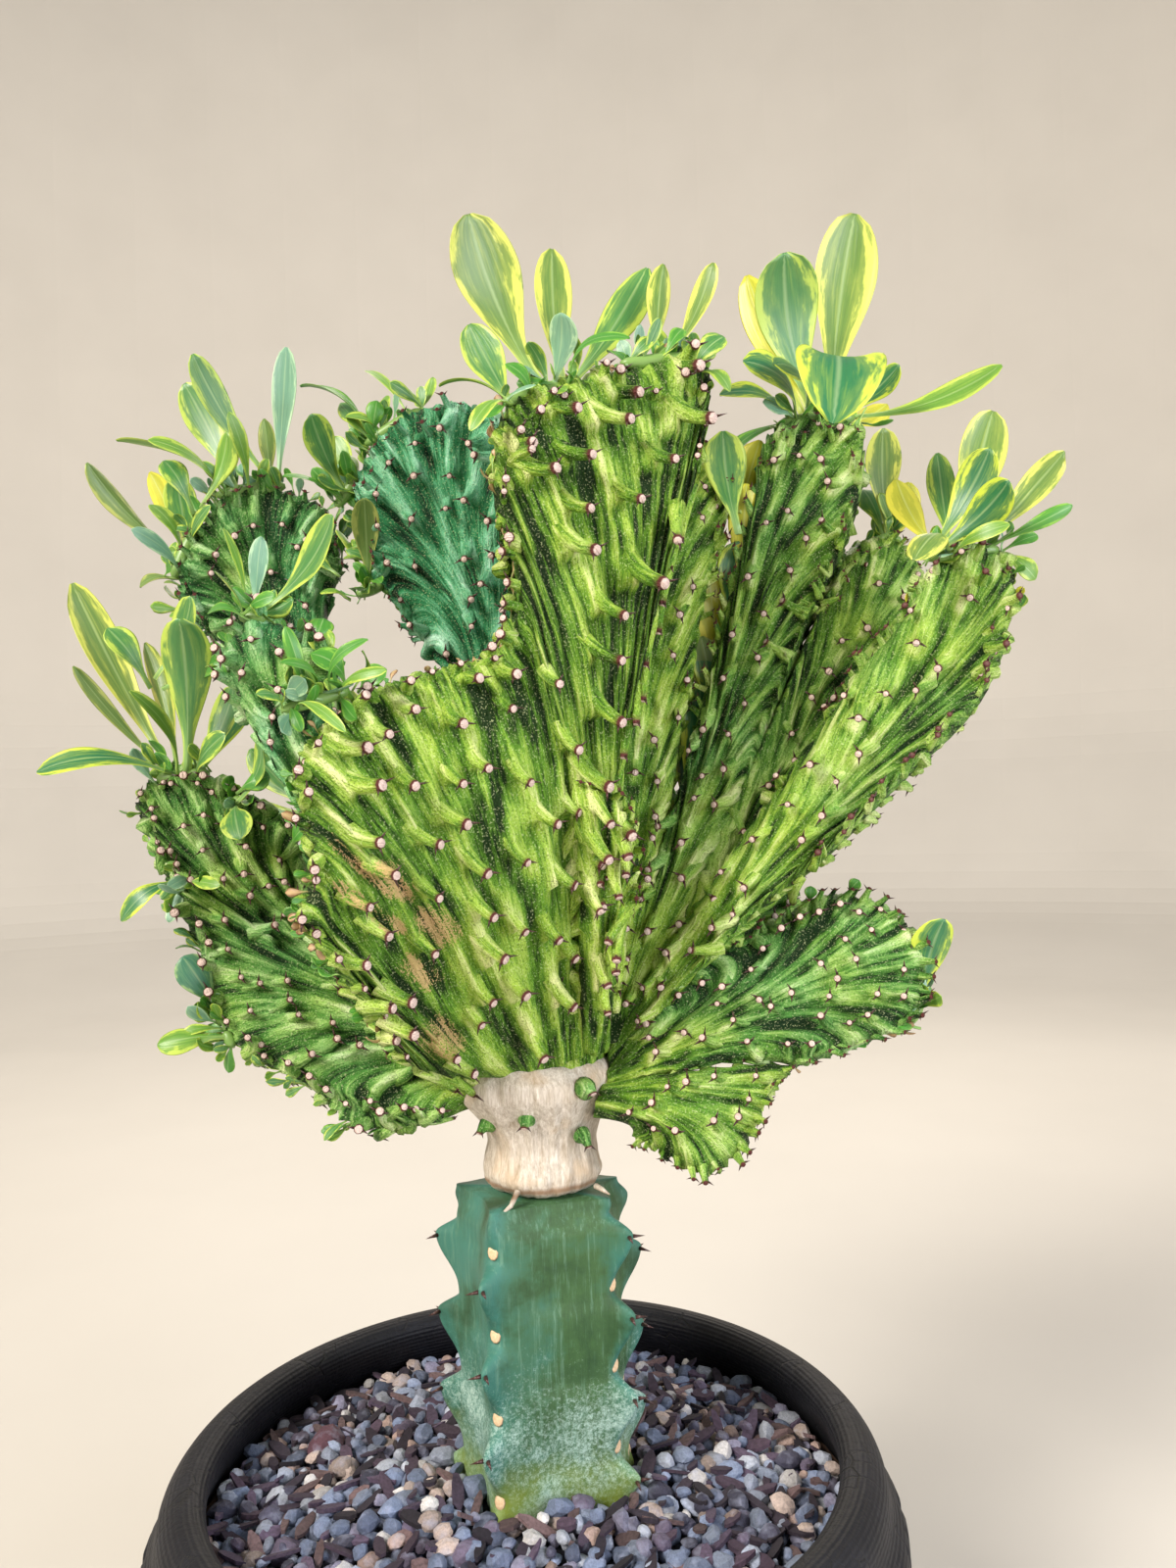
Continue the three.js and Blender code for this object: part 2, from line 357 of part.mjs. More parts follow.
// Leaf tufts on the growing crests. A leaf is [base, tip, width, bow, turn of its face in degrees].
const TUFTS = [
  { name: "far_left_top_leaves", bud: [[-138, 45, 624], [-110, 48, 628], 6], leaves: [
    [[-116, 46, 633], [-145, 28, 687], 15, -6, 10], [[-131, 43, 628], [-157, 52, 682], 18, -4, -20],
    [[-111, 48, 629], [-107, 56, 700], 12, -4, 15], [[-124, 42, 625], [-126, 20, 656], 8, 4, 30],
    [[-137, 43, 624], [-162, 14, 642], 13, 6, 20], [[-133, 47, 629], [-187, 40, 651], 11, 5, 65],
    [[-116, 52, 631], [-125, 78, 672], 9, -3, 0]] },
  { name: "far_left_low_leaves", bud: [[-159, 38, 585], [-151, 40, 603], 6], leaves: [
    [[-156, 38, 592], [-194, 22, 635], 12, -6, 15], [[-157, 36, 585], [-166, 2, 598], 9, 5, -35],
    [[-153, 40, 597], [-165, 60, 638], 16, -4, 10], [[-156, 42, 598], [-187, 84, 648], 12, -4, -15],
    [[-151, 38, 598], [-135, 18, 612], 6, 3, 30], [[-156, 40, 594], [-170, 36, 618], 12, 4, 40]] },
  { name: "left_neck_leaves", bud: [[-98, -62, 546], [-90, -64, 545], 4.5], leaves: [
    [[-91, -64, 547], [-58, -78, 581], 19, -5, -15], [[-94, -60, 548], [-94, -48, 581], 8, -3, 25],
    [[-96, -64, 547], [-102, -72, 579], 6, 2, 60], [[-97, -66, 546], [-102, -84, 560], 3, 2, 45]] },
  { name: "back_left_side_leaves", bud: [[-69, 31, 571], [-60, 32, 574], 4.5], leaves: [
    [[-65, 31, 573], [-62, 10, 611], 13, -4, 10], [[-67, 33, 574], [-82, 44, 605], 8, 3, 50],
    [[-61, 30, 573], [-54, 2, 570], 6, 3, 10]] },
  { name: "back_left_shoulder_leaves", bud: [[-79, 37, 616], [-70, 37, 628], 5], leaves: [
    [[-75, 35, 619], [-86, 12, 651], 16, -4, 5], [[-78, 35, 616], [-98, 6, 621], 7, 4, 20],
    [[-72, 37, 626], [-84, 52, 653], 11, -3, -20]] },
  { name: "back_left_crest_leaves", bud: [[-64, 37, 645], [-40, 37, 659], 5], leaves: [
    [[-63, 39, 647], [-98, 44, 676], 10, 8, 40], [[-64, 39, 647], [-81, 56, 671], 9, 3, -20],
    [[-45, 39, 658], [-69, 62, 689], 7, 4, 20], [[-41, 37, 659], [-34, 52, 681], 7, -3, -20]] },
  { name: "head_left_leaves", bud: [[9, -60, 629], [35, -56, 637], 5.5], leaves: [
    [[22, -59, 636], [-4, -66, 702], 29, -8, 5], [[32, -52, 637], [28, -20, 709], 17, -6, 15],
    [[10, -56, 630], [-8, -30, 673], 17, -5, -15], [[27, -59, 634], [32, -72, 659], 13, -3, -20],
    [[34, -60, 635], [58, -78, 646], 7, 9, -10], [[33, -48, 638], [70, -10, 704], 18, -5, 0],
    [[10, -62, 628], [-20, -44, 642], 6, 5, 35], [[11, -64, 626], [-4, -84, 610], 7, 6, 10]] },
  { name: "head_right_leaves", bud: [[57, -49, 647], [87, -44, 650], 5], leaves: [
    [[71, -45, 651], [76, -24, 699], 11, -4, 20], [[76, -46, 651], [97, -30, 696], 10, -5, -10]] },
  { name: "column_crown_leaves", bud: [[136, 36, 647], [167, 36, 649], 7], leaves: [
    [[152, 28, 649], [144, -34, 624], 39, 26, 0], [[151, 36, 653], [135, 14, 720], 35, -10, 0],
    [[160, 40, 654], [179, 58, 759], 32, -8, 10], [[146, 40, 653], [126, 72, 736], 20, -6, -15],
    [[146, 34, 650], [125, -6, 661], 17, 8, 0], [[141, 34, 649], [113, 6, 667], 23, 8, 0],
    [[149, 38, 652], [136, 50, 707], 12, -4, 0], [[164, 34, 649], [186, 12, 665], 12, -3, 20],
    [[166, 36, 650], [237, 22, 667], 17, -8, -10], [[140, 36, 648], [104, 24, 658], 15, 7, 15],
    [[167, 40, 649], [194, 66, 665], 15, -4, 0], [[139, 38, 648], [110, 66, 631], 15, 8, 10]] },
  { name: "right_middle_edge_leaves", bud: [[184, 45, 592], [191, 46, 591], 5], leaves: [
    [[187, 46, 593], [183, 34, 643], 19, -4, 5], [[185, 47, 593], [179, 62, 621], 13, 4, -10],
    [[190, 48, 591], [204, 66, 625], 17, -4, 0]] },
  { name: "right_outer_crown_leaves", bud: [[188, -15, 571], [217, -13, 573], 6], leaves: [
    [[190, -17, 575], [213, -26, 614], 17, -6, -10], [[188, -21, 571], [214, -44, 595], 18, -7, 10],
    [[205, -10, 576], [231, 20, 645], 22, -5, 5], [[213, -12, 576], [254, -4, 618], 14, -6, 10],
    [[216, -14, 575], [248, -24, 589], 7, 5, 35], [[195, -21, 571], [171, -52, 562], 14, 9, 20],
    [[193, -9, 576], [185, 22, 615], 16, -4, 0], [[199, -9, 577], [206, 26, 628], 13, -4, -20],
    [[198, -19, 571], [215, -40, 578], 7, 6, 30]] },
  { name: "low_left_crown_leaves", bud: [[-156, 6, 485], [-139, 10, 487], 6.5], leaves: [
    [[-145, 5, 488], [-137, -22, 553], 23, -6, 5], [[-153, 9, 488], [-203, 24, 579], 18, -8, 10],
    [[-152, 5, 487], [-204, -14, 489], 15, 9, 15], [[-149, 3, 487], [-158, -26, 522], 9, 7, 50],
    [[-154, 9, 488], [-194, 2, 537], 8, -4, 20], [[-143, 10, 487], [-127, 22, 528], 15, -4, -10],
    [[-142, 12, 487], [-125, 40, 528], 12, -4, 10], [[-141, 6, 486], [-121, -14, 503], 11, 3, 10],
    [[-152, 11, 488], [-177, 44, 553], 11, -5, -20], [[-153, 11, 486], [-186, 26, 494], 7, 5, 20]] },
  { name: "low_left_back_edge_leaves", bud: [[-124, 3, 472], [-121, 3, 474], 5], leaves: [
    [[-122, -1, 472], [-103, -24, 500], 14, -5, -15], [[-121, -2, 471], [-113, -24, 457], 14, 4, 0]] },
  { name: "low_left_side_leaves", bud: [[-142, -9, 440], [-138, -9, 439], 4.5], leaves: [
    [[-141, -12, 439], [-164, -26, 424], 9, 9, 0], [[-138, -13, 439], [-120, -30, 438], 6, 3, 20]] },
  { name: "low_left_waist_leaves", bud: [[-128, -14, 385], [-126, -16, 379], 4], leaves: [
    [[-128, -14, 383], [-139, -24, 408], 15, 3, 10]] },
  { name: "low_left_tip_leaves", bud: [[-123, -17, 373], [-121, -18, 369], 4], leaves: [
    [[-122, -18, 372], [-150, -26, 371], 12, 3, 5]] },
  { name: "front_edge_curls_leaves", bud: [[-74, -95, 506], [-54, -88, 512], 4], leaves: [
    [[-67, -92, 509], [-71, -104, 535], 6, 5, 10], [[-64, -91, 510], [-71, -112, 521], 6, 6, 20],
    [[-58, -88, 511], [-42, -100, 530], 6, 7, -20], [[-70, -94, 507], [-47, -120, 495], 5, 6, 0],
    [[-56, -88, 510], [-35, -104, 518], 6, 5, 0]] },
  { name: "low_right_crown_leaves", bud: [[176, -3, 367], [181, 0, 373], 4.5], leaves: [
    [[179, -2, 369], [191, -8, 412], 20, -4, 20]] },
  { name: "back_high_leaves", bud: [[11, 117, 603], [51, 114, 596], 5.5], leaves: [
    [[17, 118, 604], [-10, 140, 662], 20, 5, 170], [[29, 117, 605], [34, 150, 655], 17, 4, 190],
    [[44, 115, 601], [70, 140, 640], 16, 4, 160], [[22, 119, 603], [2, 158, 628], 13, 5, 180],
    [[49, 115, 596], [84, 118, 628], 12, 5, 165]] },
  { name: "back_low_left_leaves", bud: [[-112, 102, 465], [-93, 110, 482], 5.5], leaves: [
    [[-110, 103, 469], [-150, 124, 504], 18, 5, 190], [[-105, 107, 476], [-126, 140, 520], 20, 5, 170],
    [[-99, 108, 482], [-96, 138, 536], 16, 4, 180], [[-112, 101, 467], [-160, 108, 470], 14, 5, 150]] },
  { name: "back_low_right_leaves", bud: [[103, 108, 472], [126, 102, 458], 5.5], leaves: [
    [[107, 108, 474], [120, 146, 524], 20, 5, 185], [[115, 105, 471], [158, 132, 506], 18, 5, 170],
    [[124, 102, 464], [172, 118, 470], 15, 5, 200], [[105, 110, 474], [96, 142, 516], 14, 4, 180]] },
];

// The stock's outline: narrow ribs with a toothed edge, and hollow furrows between them.
// Each rib brings four points to a ring: its edge, a shoulder, the furrow floor and the next shoulder.
function stockColumns(grow) {
  const columns = [];
  STOCK_RIBS.forEach((rib, k) => {
    const next = STOCK_RIBS[(k + 1) % STOCK_RIBS.length];
    const spread = (next.angle - rib.angle + 360) % 360;
    const furrow = lerp(33, 28, smooth(spread, 46, 88));
    const shoulder = { radius: STOCK.ribRadius - 6 + grow, edge: false };
    columns.push({ angle: rib.angle, lift: rib.lift, radius: STOCK.ribRadius + 1.5 * grow, edge: true });
    columns.push({ ...shoulder, angle: rib.angle + STOCK.shoulder, lift: rib.lift });
    columns.push({ angle: rib.angle + spread / 2, lift: next.lift, radius: furrow + grow, edge: false });
    columns.push({ ...shoulder, angle: rib.angle + spread - STOCK.shoulder, lift: next.lift });
  });
  return columns;
}

// How wide the stock is at a height, as a share of its full width, and how strong its teeth are there.
const stockShare = (z) => lerp(0.55, 1, smooth(z, STOCK.foot, 182)) * lerp(1, 0.88, smooth(z, 286, 300));
const toothStrength = (z) => smooth(z, 170, 184) * (1 - smooth(z, 290, 298));

// A rib's edge falls away slowly below each tooth and climbs fast from the notch to the next one.
function toothWave(z, lift) {
  const below = (STOCK.top + lift - z) / TOOTH.spacing;
  const p = below - Math.floor(below);
  const turn = p < TOOTH.notch ? p / TOOTH.notch : 1 + (p - TOOTH.notch) / (1 - TOOTH.notch);
  return Math.cos(Math.PI * turn);
}

function stockPoint(column, z, grow) {
  const angle = radians(column.angle);
  const share = column.edge ? 1 : TOOTH.onShoulder;
  const tooth = TOOTH.height * share * toothStrength(z) * toothWave(z, column.lift);
  const r = (column.radius - grow) * stockShare(z) + grow + tooth;
  return new THREE.Vector3(STOCK.x + r * Math.cos(angle), STOCK.y + r * Math.sin(angle), z);
}

// A thin three-sided spine whose root is sunk in what it grows from.
function spineSolid(root, direction, length, width) {
  const axis = direction.clone().normalize();
  const side = new THREE.Vector3(0, 0, 1).cross(axis).normalize();
  const up = axis.clone().cross(side);
  const back = root.clone().addScaledVector(axis, -1.5);
  const ring = [0, 1, 2].map((k) => back.clone()
    .addScaledVector(side, (width / 1.7) * Math.cos((2 * Math.PI * k) / 3))
    .addScaledVector(up, (width / 1.7) * Math.sin((2 * Math.PI * k) / 3)));
  const tip = root.clone().addScaledVector(axis, length);
  return solidFrom(geometryFrom([...ring, tip], [[0, 1, 3], [1, 2, 3], [2, 0, 3], [0, 2, 1]]));
}

// A tapering tube along a few points.
function rootSolid(path, startRadius, endRadius, grow) {
  const rings = path.map((p, k) => {
    const ahead = path[Math.min(k + 1, path.length - 1)].clone().sub(path[Math.max(k - 1, 0)]).normalize();
    const side = ahead.clone().cross(new THREE.Vector3(0.3, 0.2, 1)).normalize();
    const up = side.clone().cross(ahead);
    const radius = lerp(startRadius, endRadius, k / (path.length - 1)) + grow;
    const centre = k === path.length - 1 ? p.clone().addScaledVector(ahead, grow) : p;
    return [0, 1, 2, 3, 4].map((n) => centre.clone()
      .addScaledVector(side, radius * Math.cos((2 * Math.PI * n) / 5))
      .addScaledVector(up, radius * Math.sin((2 * Math.PI * n) / 5)));
  });
  return ringSolid(rings);
}

// The same stock, its surface moved out by grow, cuts its hole in the gravel and the potting mix.
function stockSolid(grow) {
  const columns = stockColumns(grow);
  const heights = [STOCK.foot - grow, 138, 164];
  for (let z = 180; z < 297; z += TOOTH.spacing / 5) heights.push(z);
  heights.push(STOCK.top + grow);
  const solids = [ringSolid(heights.map((z) => columns.map((column) => stockPoint(column, z, grow))))];
  const draw = seededDraw(11);
  for (let k = 0; k < 5; k++) {
    const angle = (2 * Math.PI * (k + 0.3)) / 5 + 0.3 * draw();
    const reach = 62 + 26 * draw();
    const drop = 48 + 28 * draw();
    const path = [0, 0.5, 1].map((t) => new THREE.Vector3(
      STOCK.x + (8 + reach * t) * Math.cos(angle + 0.35 * t),
      STOCK.y + (8 + reach * t) * Math.sin(angle + 0.35 * t),
      STOCK.foot + 12 - drop * t ** 1.3,
    ));
    solids.push(rootSolid(path, 7.5, 1.6, grow));
  }
  return fuse(solids);
}

// A pair of spines at the tip of each tooth that stands clear of the gravel.
function stockSpines() {
  const spines = [];
  for (const column of stockColumns(0).filter((c) => c.edge)) {
    for (let n = 1; n < 3; n++) {
      const z = STOCK.top + column.lift - n * TOOTH.spacing;
      const root = stockPoint(column, z, 0);
      for (const turn of [-24, 24]) {
        const angle = radians(column.angle + turn);
        const direction = new THREE.Vector3(Math.cos(angle), Math.sin(angle), 0.15);
        const sunk = root.clone().addScaledVector(direction, -0.8);
        spines.push(spineSolid(sunk, direction, SPINE.length, SPINE.width));
      }
    }
  }
  return spines;
}

// A spatulate leaf: a narrow stalk, widest past the middle, a round tip and a keel under its midrib.
// The row gives its base, tip, width, bow out of its plane, and the turn of its face about its length.
// Grown, it is a flat box that holds the leaf with the clearance all round.
function leafSolid([from, to, width, bow, turn], grow) {
  const base = vector(from);
  const tip = vector(to);
  const axis = tip.clone().sub(base);
  const length = axis.length();
  axis.normalize();
  const face = new THREE.Vector3(0.05, -0.87, 0.49);
  face.addScaledVector(axis, -face.dot(axis)).normalize().applyAxisAngle(axis, radians(turn));
  const side = axis.clone().cross(face);
  const { petiole, stalk, widest, thickness } = LEAF;
  const stations = [0, 0.42, 0.82];
  const rings = stations.map((t) => {
    const swell = petiole + (1 - petiole) * smooth(t, stalk, widest);
    const round = t > widest ? Math.sqrt(1 - ((t - widest) / (1 - widest)) ** 2) : 1;
    const half = (width / 2) * swell * round + grow;
    const along = t === 0 ? -2 - grow : length * t;
    const rise = 4 * bow * t * (1 - t) + grow;
    const centre = base.clone().addScaledVector(axis, along).addScaledVector(face, rise);
    const under = -thickness - 2 * grow;
    const upper = [[half, 0], [-half, 0]];
    const section = [...upper, ...(grow ? [[-half, under], [half, under]] : [[0, under]])];
    return section.map(([x, y]) => centre.clone().addScaledVector(side, x).addScaledVector(face, y));
  });
  const points = rings.flat();
  const sides = rings[0].length;
  const faces = sides === 3 ? [[0, 1, 2]] : [[0, 1, 2], [0, 2, 3]];
  for (let j = 0; j < stations.length - 1; j++) {
    for (let i = 0; i < sides; i++) {
      const a = sides * j + i;
      const b = sides * j + ((i + 1) % sides);
      faces.push([a, a + sides, b], [b, a + sides, b + sides]);
    }
  }
  const end = points.length;
  points.push(tip.clone().addScaledVector(axis, grow));
  for (let i = 0; i < sides; i++) {
    faces.push([end - sides + i, end, end - sides + ((i + 1) % sides)]);
  }
  return solidFrom(geometryFrom(points, faces));
}

// A short swollen bud line on the crest, from which a tuft's leaves stand out.
function budSolid([from, to, radius], grow) {
  const start = vector(from);
  const end = vector(to);
  const axis = end.clone().sub(start).normalize();
  const side = axis.clone().cross(new THREE.Vector3(0.2, 0.9, 0.4)).normalize();
  const up = side.clone().cross(axis);
  const beyond = 0.6 * radius + grow;
  const rings = [[-beyond, 0.3, start], [0, 1, start], [0, 1, end], [beyond, 0.3, end]];
  return ringSolid(rings.map(([along, share, at]) => {
    const centre = at.clone().addScaledVector(axis, along);
    const r = radius * share + grow;
    return [0, 1, 2, 3, 4].map((n) => centre.clone()
      .addScaledVector(side, r * Math.cos((2 * Math.PI * n) / 5))
      .addScaledVector(up, r * Math.sin((2 * Math.PI * n) / 5)));
  }));
}

function tuftSolid(tuft, grow) {
  return fuse([budSolid(tuft.bud, grow), ...tuft.leaves.map((leaf) => leafSolid(leaf, grow))]);
}

// The pot's walls and the height of its tread. Rows are [radius, height].
const potInside = [[116, 8], [150, 130], [150, 150], [137, 176], [135, 184]];
const potOutside = [
  [118, 0], [124, 3], [159, 104], [161, 107], [163, 132], [159, 134],
  [164, 136], [163, 161], [157, 168], [155, 181], [149, 188.5], [142, 190],
];

function insideRadius(z) {
  let k = 0;
  while (k < potInside.length - 2 && z > potInside[k + 1][1]) k++;
  const [[r0, z0], [r1, z1]] = [potInside[k], potInside[k + 1]];
  return lerp(r0, r1, (z - z0) / (z1 - z0));
}

// The tread is two bands of blocks with a groove between the bands and one between each two blocks.
function potSolid() {
  const block = [0, 0.74, 0.87];
  const angles = Array.from({ length: 3 * POT.lugs }, (_, i) => (
    (2 * Math.PI * (Math.floor(i / 3) + block[i % 3])) / POT.lugs));
  const outer = turnedSolid({}, angles, potOutside, (radius, angle, z, column) => {
    const inTread = z > POT.treadFrom && z < POT.treadTo;
    return radius - (inTread && column % 3 === 2 ? POT.grooveDepth : 0);
  });
  const inner = turnedSolid({}, evenly(POT.sides), [...potInside, [138, 188.5], [138, 200]]);
  return outer.subtract(inner);
}

function mixSolid() {
  const rows = [MIX.floor + GAP, 130, 150, MIX.top].map((z) => [insideRadius(z) - 1.2 * GAP, z]);
  return turnedSolid({}, evenly(POT.sides), rows).subtract(stockSolid(0.6));
}

// Gravel heaped towards the stem, its stones raised from the surface as uneven lumps.
function gravelSolid() {
  const draw = seededDraw(29);
  const bottom = MIX.top + GAP;
  const rings = [];
  const ringAt = (share, heightAt) => {
    const ring = [];
    for (let i = 0; i < POT.sides; i++) {
      const angle = (2 * Math.PI * i) / POT.sides;
      const z = heightAt(i);
      const r = share * (insideRadius(Math.max(z, bottom)) - 1.2 * GAP);
      ring.push(new THREE.Vector3(r * Math.cos(angle), r * Math.sin(angle), z));
    }
    return ring;
  };
  rings.push(ringAt(0.2, () => bottom), ringAt(1, () => bottom));
  for (let k = GRAVEL.rings; k > 0; k--) {
    const share = lerp(0.26, 1, (k - 1) / (GRAVEL.rings - 1));
    const mound = lerp(GRAVEL.moundHeight, GRAVEL.rimHeight, smooth(share, 0.3, 1));
    rings.push(ringAt(share, (i) => mound + GRAVEL.relief * (draw() - 0.5) * ((i + k) % 2 ? 1 : 0.6)));
  }
  return ringSolid(rings).subtract(stockSolid(0.6));
}

const material = (color, roughness) => new THREE.MeshStandardMaterial({ color, roughness, metalness: 0 });

const plant = new THREE.Group();
function addPiece(name, solid, color, roughness) {
  const body = largestBody(solidFrom(geometryOf(largestBody(solid))));
  const mesh = new THREE.Mesh(geometryOf(body), material(color, roughness));
  mesh.name = name;
  plant.add(mesh);
}

addPiece("pot", potSolid(), 0x1d1c1b, 0.8);
addPiece("potting_mix", mixSolid(), 0x3b2a20, 1);
addPiece("gravel", gravelSolid(), 0x7d7478, 0.95);
addPiece("rootstock", fuse([stockSolid(0), ...stockSpines()]), 0x3f7a55, 0.6);
addPiece("scion_collar", collarSolid(0), 0xd9c6a6, 0.85);

// Each tuft keeps clear of the ones before it, and the crest keeps clear of them all.
const grownTufts = [];
TUFTS.forEach((tuft) => {
  const solid = grownTufts.reduce((rest, other) => rest.subtract(other), tuftSolid(tuft, 0));
  addPiece(tuft.name, solid, 0x7fae3c, 0.5);
  grownTufts.push(tuftSolid(tuft, GAP));
});
addPiece("crest", crestSolid().subtract(collarSolid(GAP)).subtract(fuse(grownTufts)), 0x5c8c2c, 0.55);

export default plant;
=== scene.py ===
"""A crested, variegated euphorbia grafted on a ribbed stock, growing in a round black rubber pot."""

import math

import bpy
import numpy as np
from mathutils import Matrix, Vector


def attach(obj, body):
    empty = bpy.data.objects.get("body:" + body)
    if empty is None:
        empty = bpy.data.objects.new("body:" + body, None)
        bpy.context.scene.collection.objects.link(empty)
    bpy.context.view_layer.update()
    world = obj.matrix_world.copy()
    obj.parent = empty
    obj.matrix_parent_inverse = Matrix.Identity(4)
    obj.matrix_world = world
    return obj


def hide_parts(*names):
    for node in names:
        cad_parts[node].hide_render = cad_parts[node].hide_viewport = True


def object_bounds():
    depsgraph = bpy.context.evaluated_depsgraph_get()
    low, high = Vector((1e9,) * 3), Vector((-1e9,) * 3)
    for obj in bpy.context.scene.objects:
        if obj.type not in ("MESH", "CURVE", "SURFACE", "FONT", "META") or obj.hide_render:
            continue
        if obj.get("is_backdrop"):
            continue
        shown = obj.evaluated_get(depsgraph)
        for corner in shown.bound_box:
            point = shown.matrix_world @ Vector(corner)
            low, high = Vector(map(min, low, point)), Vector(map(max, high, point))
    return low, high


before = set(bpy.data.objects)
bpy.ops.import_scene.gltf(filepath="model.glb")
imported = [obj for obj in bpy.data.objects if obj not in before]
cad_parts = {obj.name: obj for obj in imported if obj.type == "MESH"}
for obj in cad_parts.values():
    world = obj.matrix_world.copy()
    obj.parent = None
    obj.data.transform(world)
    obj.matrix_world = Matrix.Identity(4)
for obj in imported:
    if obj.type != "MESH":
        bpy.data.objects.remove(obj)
cad_low, cad_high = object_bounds()

# The pot is a wide round tub of black rubber, moulded in one piece. Its thick rim is smooth and finely
# turned, two bands of tread blocks run round under it, and the plain wall narrows to the foot.
MM = 0.001
POT_OUTSIDE = [[118, 0], [124, 3], [159, 104], [161, 107], [163, 132], [159, 134], [164, 136], [163, 161],
               [157, 168], [155, 181], [149, 188.5], [142, 190]]
POT_INSIDE = [[138, 188.5], [135, 184], [137, 176], [150, 150], [150, 130], [116, 8]]
POT_SIDES, POT_SPACING = 420, 2.4
TREAD_BANDS, BAND_MIDDLE = [(106.0, 132.5), (136.0, 164.0)], 134
TREAD_LUGS, TREAD_DEPTH, TREAD_LEAN = 20, 4.6, 0.0066
SLIT_PLACES, SLIT_WIDTH, SLIT_DEPTH = (0.26, 0.51), 0.012, 2.2
RGBA = {"output": 2, "data_type": "RGBA"}


def linear(colour):
    """An sRGB hex colour as linear red, green, blue and alpha."""
    shares = np.array([int(colour[i:i + 2], 16) for i in (1, 3, 5)]) / 255
    curved = np.where(shares <= 0.04045, shares / 12.92, ((shares + 0.055) / 1.055) ** 2.4)
    return (*curved.tolist(), 1.0)


def add_node(tree, kind, inputs=None, output=0, **settings):
    """Adds a node, sets and links its inputs by name or number, and gives one of its outputs."""
    node = tree.nodes.new("ShaderNode" + kind)
    for name, value in settings.items():
        setattr(node, name, value)
    for key, value in (inputs or {}).items():
        if isinstance(value, bpy.types.NodeSocket):
            tree.links.new(value, node.inputs[key])
        else:
            node.inputs[key].default_value = value
    return node.outputs[output]


def new_material(name, **inputs):
    """A material with plain numbers on its shader's own sockets, its tree, and its Object coordinates."""
    material = bpy.data.materials.new(name)
    material.use_nodes = True
    tree = material.node_tree
    for key, value in inputs.items():
        tree.nodes["Principled BSDF"].inputs[key.replace("_", " ")].default_value = value
    return material, tree, add_node(tree, "TexCoord", output=3)


def feed_shader(tree, **sources):
    """Links the outputs of nodes to the shader's own sockets."""
    for key, value in sources.items():
        tree.links.new(value, tree.nodes["Principled BSDF"].inputs[key.replace("_", " ")])


def lay_tints(tree, colour, layers):
    """Lays tints over a colour in turn. Each one's share rises in a straight line from 0 where its source is
    low to the most it reaches where its source is high."""
    for source, low, high, most, tint in layers:
        share = add_node(tree, "MapRange", {0: source, 1: low, 2: high, 3: 0.0, 4: most})
        tint = linear(tint) if isinstance(tint, str) else tint
        colour = add_node(tree, "Mix", {0: share, 6: colour, 7: tint}, **RGBA)
    return colour


def smooth_step(x, low, high):
    """0 below low, 1 above high, and 3t^2 - 2t^3 between."""
    t = np.clip((np.asarray(x, float) - low) / (high - low), 0, 1)
    return t * t * (3 - 2 * t)


def mix(a, b, share):
    """The straight line from a to b."""
    return a + (b - a) * share


def travel(points, axis=0):
    """The length walked along one axis of a grid of points, from 0 at its first."""
    steps = np.linalg.norm(np.diff(points, axis=axis), axis=-1)
    return np.insert(np.cumsum(steps, axis), 0, 0, axis)


def even_profile(profile, spacing, rounds):
    """A profile read at even spacing and then softened: each point moves to the mean of its neighbours."""
    profile = np.asarray(profile, float)
    length = travel(profile)
    at = np.linspace(0, length[-1], int(length[-1] / spacing) + 1)
    read = np.stack([np.interp(at, length, profile[:, k]) for k in (0, 1)], -1)
    for _ in range(rounds):
        read[1:-1] = (read[:-2] + 2 * read[1:-1] + read[2:]) / 4
    return read, at


def grid_faces(rows, columns, wrap=False):
    """The quads of a grid of points, rows by columns, whose last column may join its first."""
    index = np.arange(rows * columns).reshape(rows, columns)
    if wrap:
        index = np.hstack([index, index[:, :1]])
    a, b, c, d = index[:-1, :-1], index[:-1, 1:], index[1:, 1:], index[1:, :-1]
    return np.stack([a, b, c, d], -1).reshape(-1, 4)


def ring_cap(ring, middle):
    """A fan of triangles from a ring of point numbers to one middle point."""
    return np.stack([ring, np.roll(ring, -1), np.full(len(ring), middle)], -1)


def closed_rings(rows, sides):
    """The faces of a closed tube of rings: quads, and caps to the two end points that follow the rings."""
    ring, count = np.arange(sides), rows * sides
    return [grid_faces(rows, sides, wrap=True),
            np.vstack([ring_cap(ring[::-1], count), ring_cap(ring + count - sides, count + 1)])]


def outward(points, faces):
    """Turns the faces of a closed surface round if its signed volume is negative."""
    volume = 0.0
    for part in faces:
        for k in range(1, part.shape[1] - 1):
            a, b, c = points[part[:, 0]], points[part[:, k]], points[part[:, k + 1]]
            volume += np.einsum("ij,ij->", a, np.cross(b, c))
    return faces if volume > 0 else [part[:, ::-1] for part in faces]


def round_axis(radius, turn, height, x=0.0, y=0.0):
    """Points round an upright axis: x + radius cos turn, y + radius sin turn, and their height."""
    aside = x + radius * np.cos(turn)
    return np.stack([aside, y + radius * np.sin(turn), np.broadcast_to(height, aside.shape)], -1)


def turn_and_height(profile, sides):
    """The turn and the height of each point of a profile that is carried round an upright axis."""
    return np.meshgrid(np.linspace(0, 2 * np.pi, sides, endpoint=False), profile[:, 1])


def turned_shape(radius, turn, height, x=0.0, y=0.0):
    """A closed turned shape: rings round an upright axis, and a point on the axis at each end."""
    rings = round_axis(radius, turn, height, x, y).reshape(-1, 3)
    points = np.vstack([rings, [[x, y, height[0, 0]], [x, y, height[-1, 0]]]])
    return points, outward(points, closed_rings(*turn.shape))


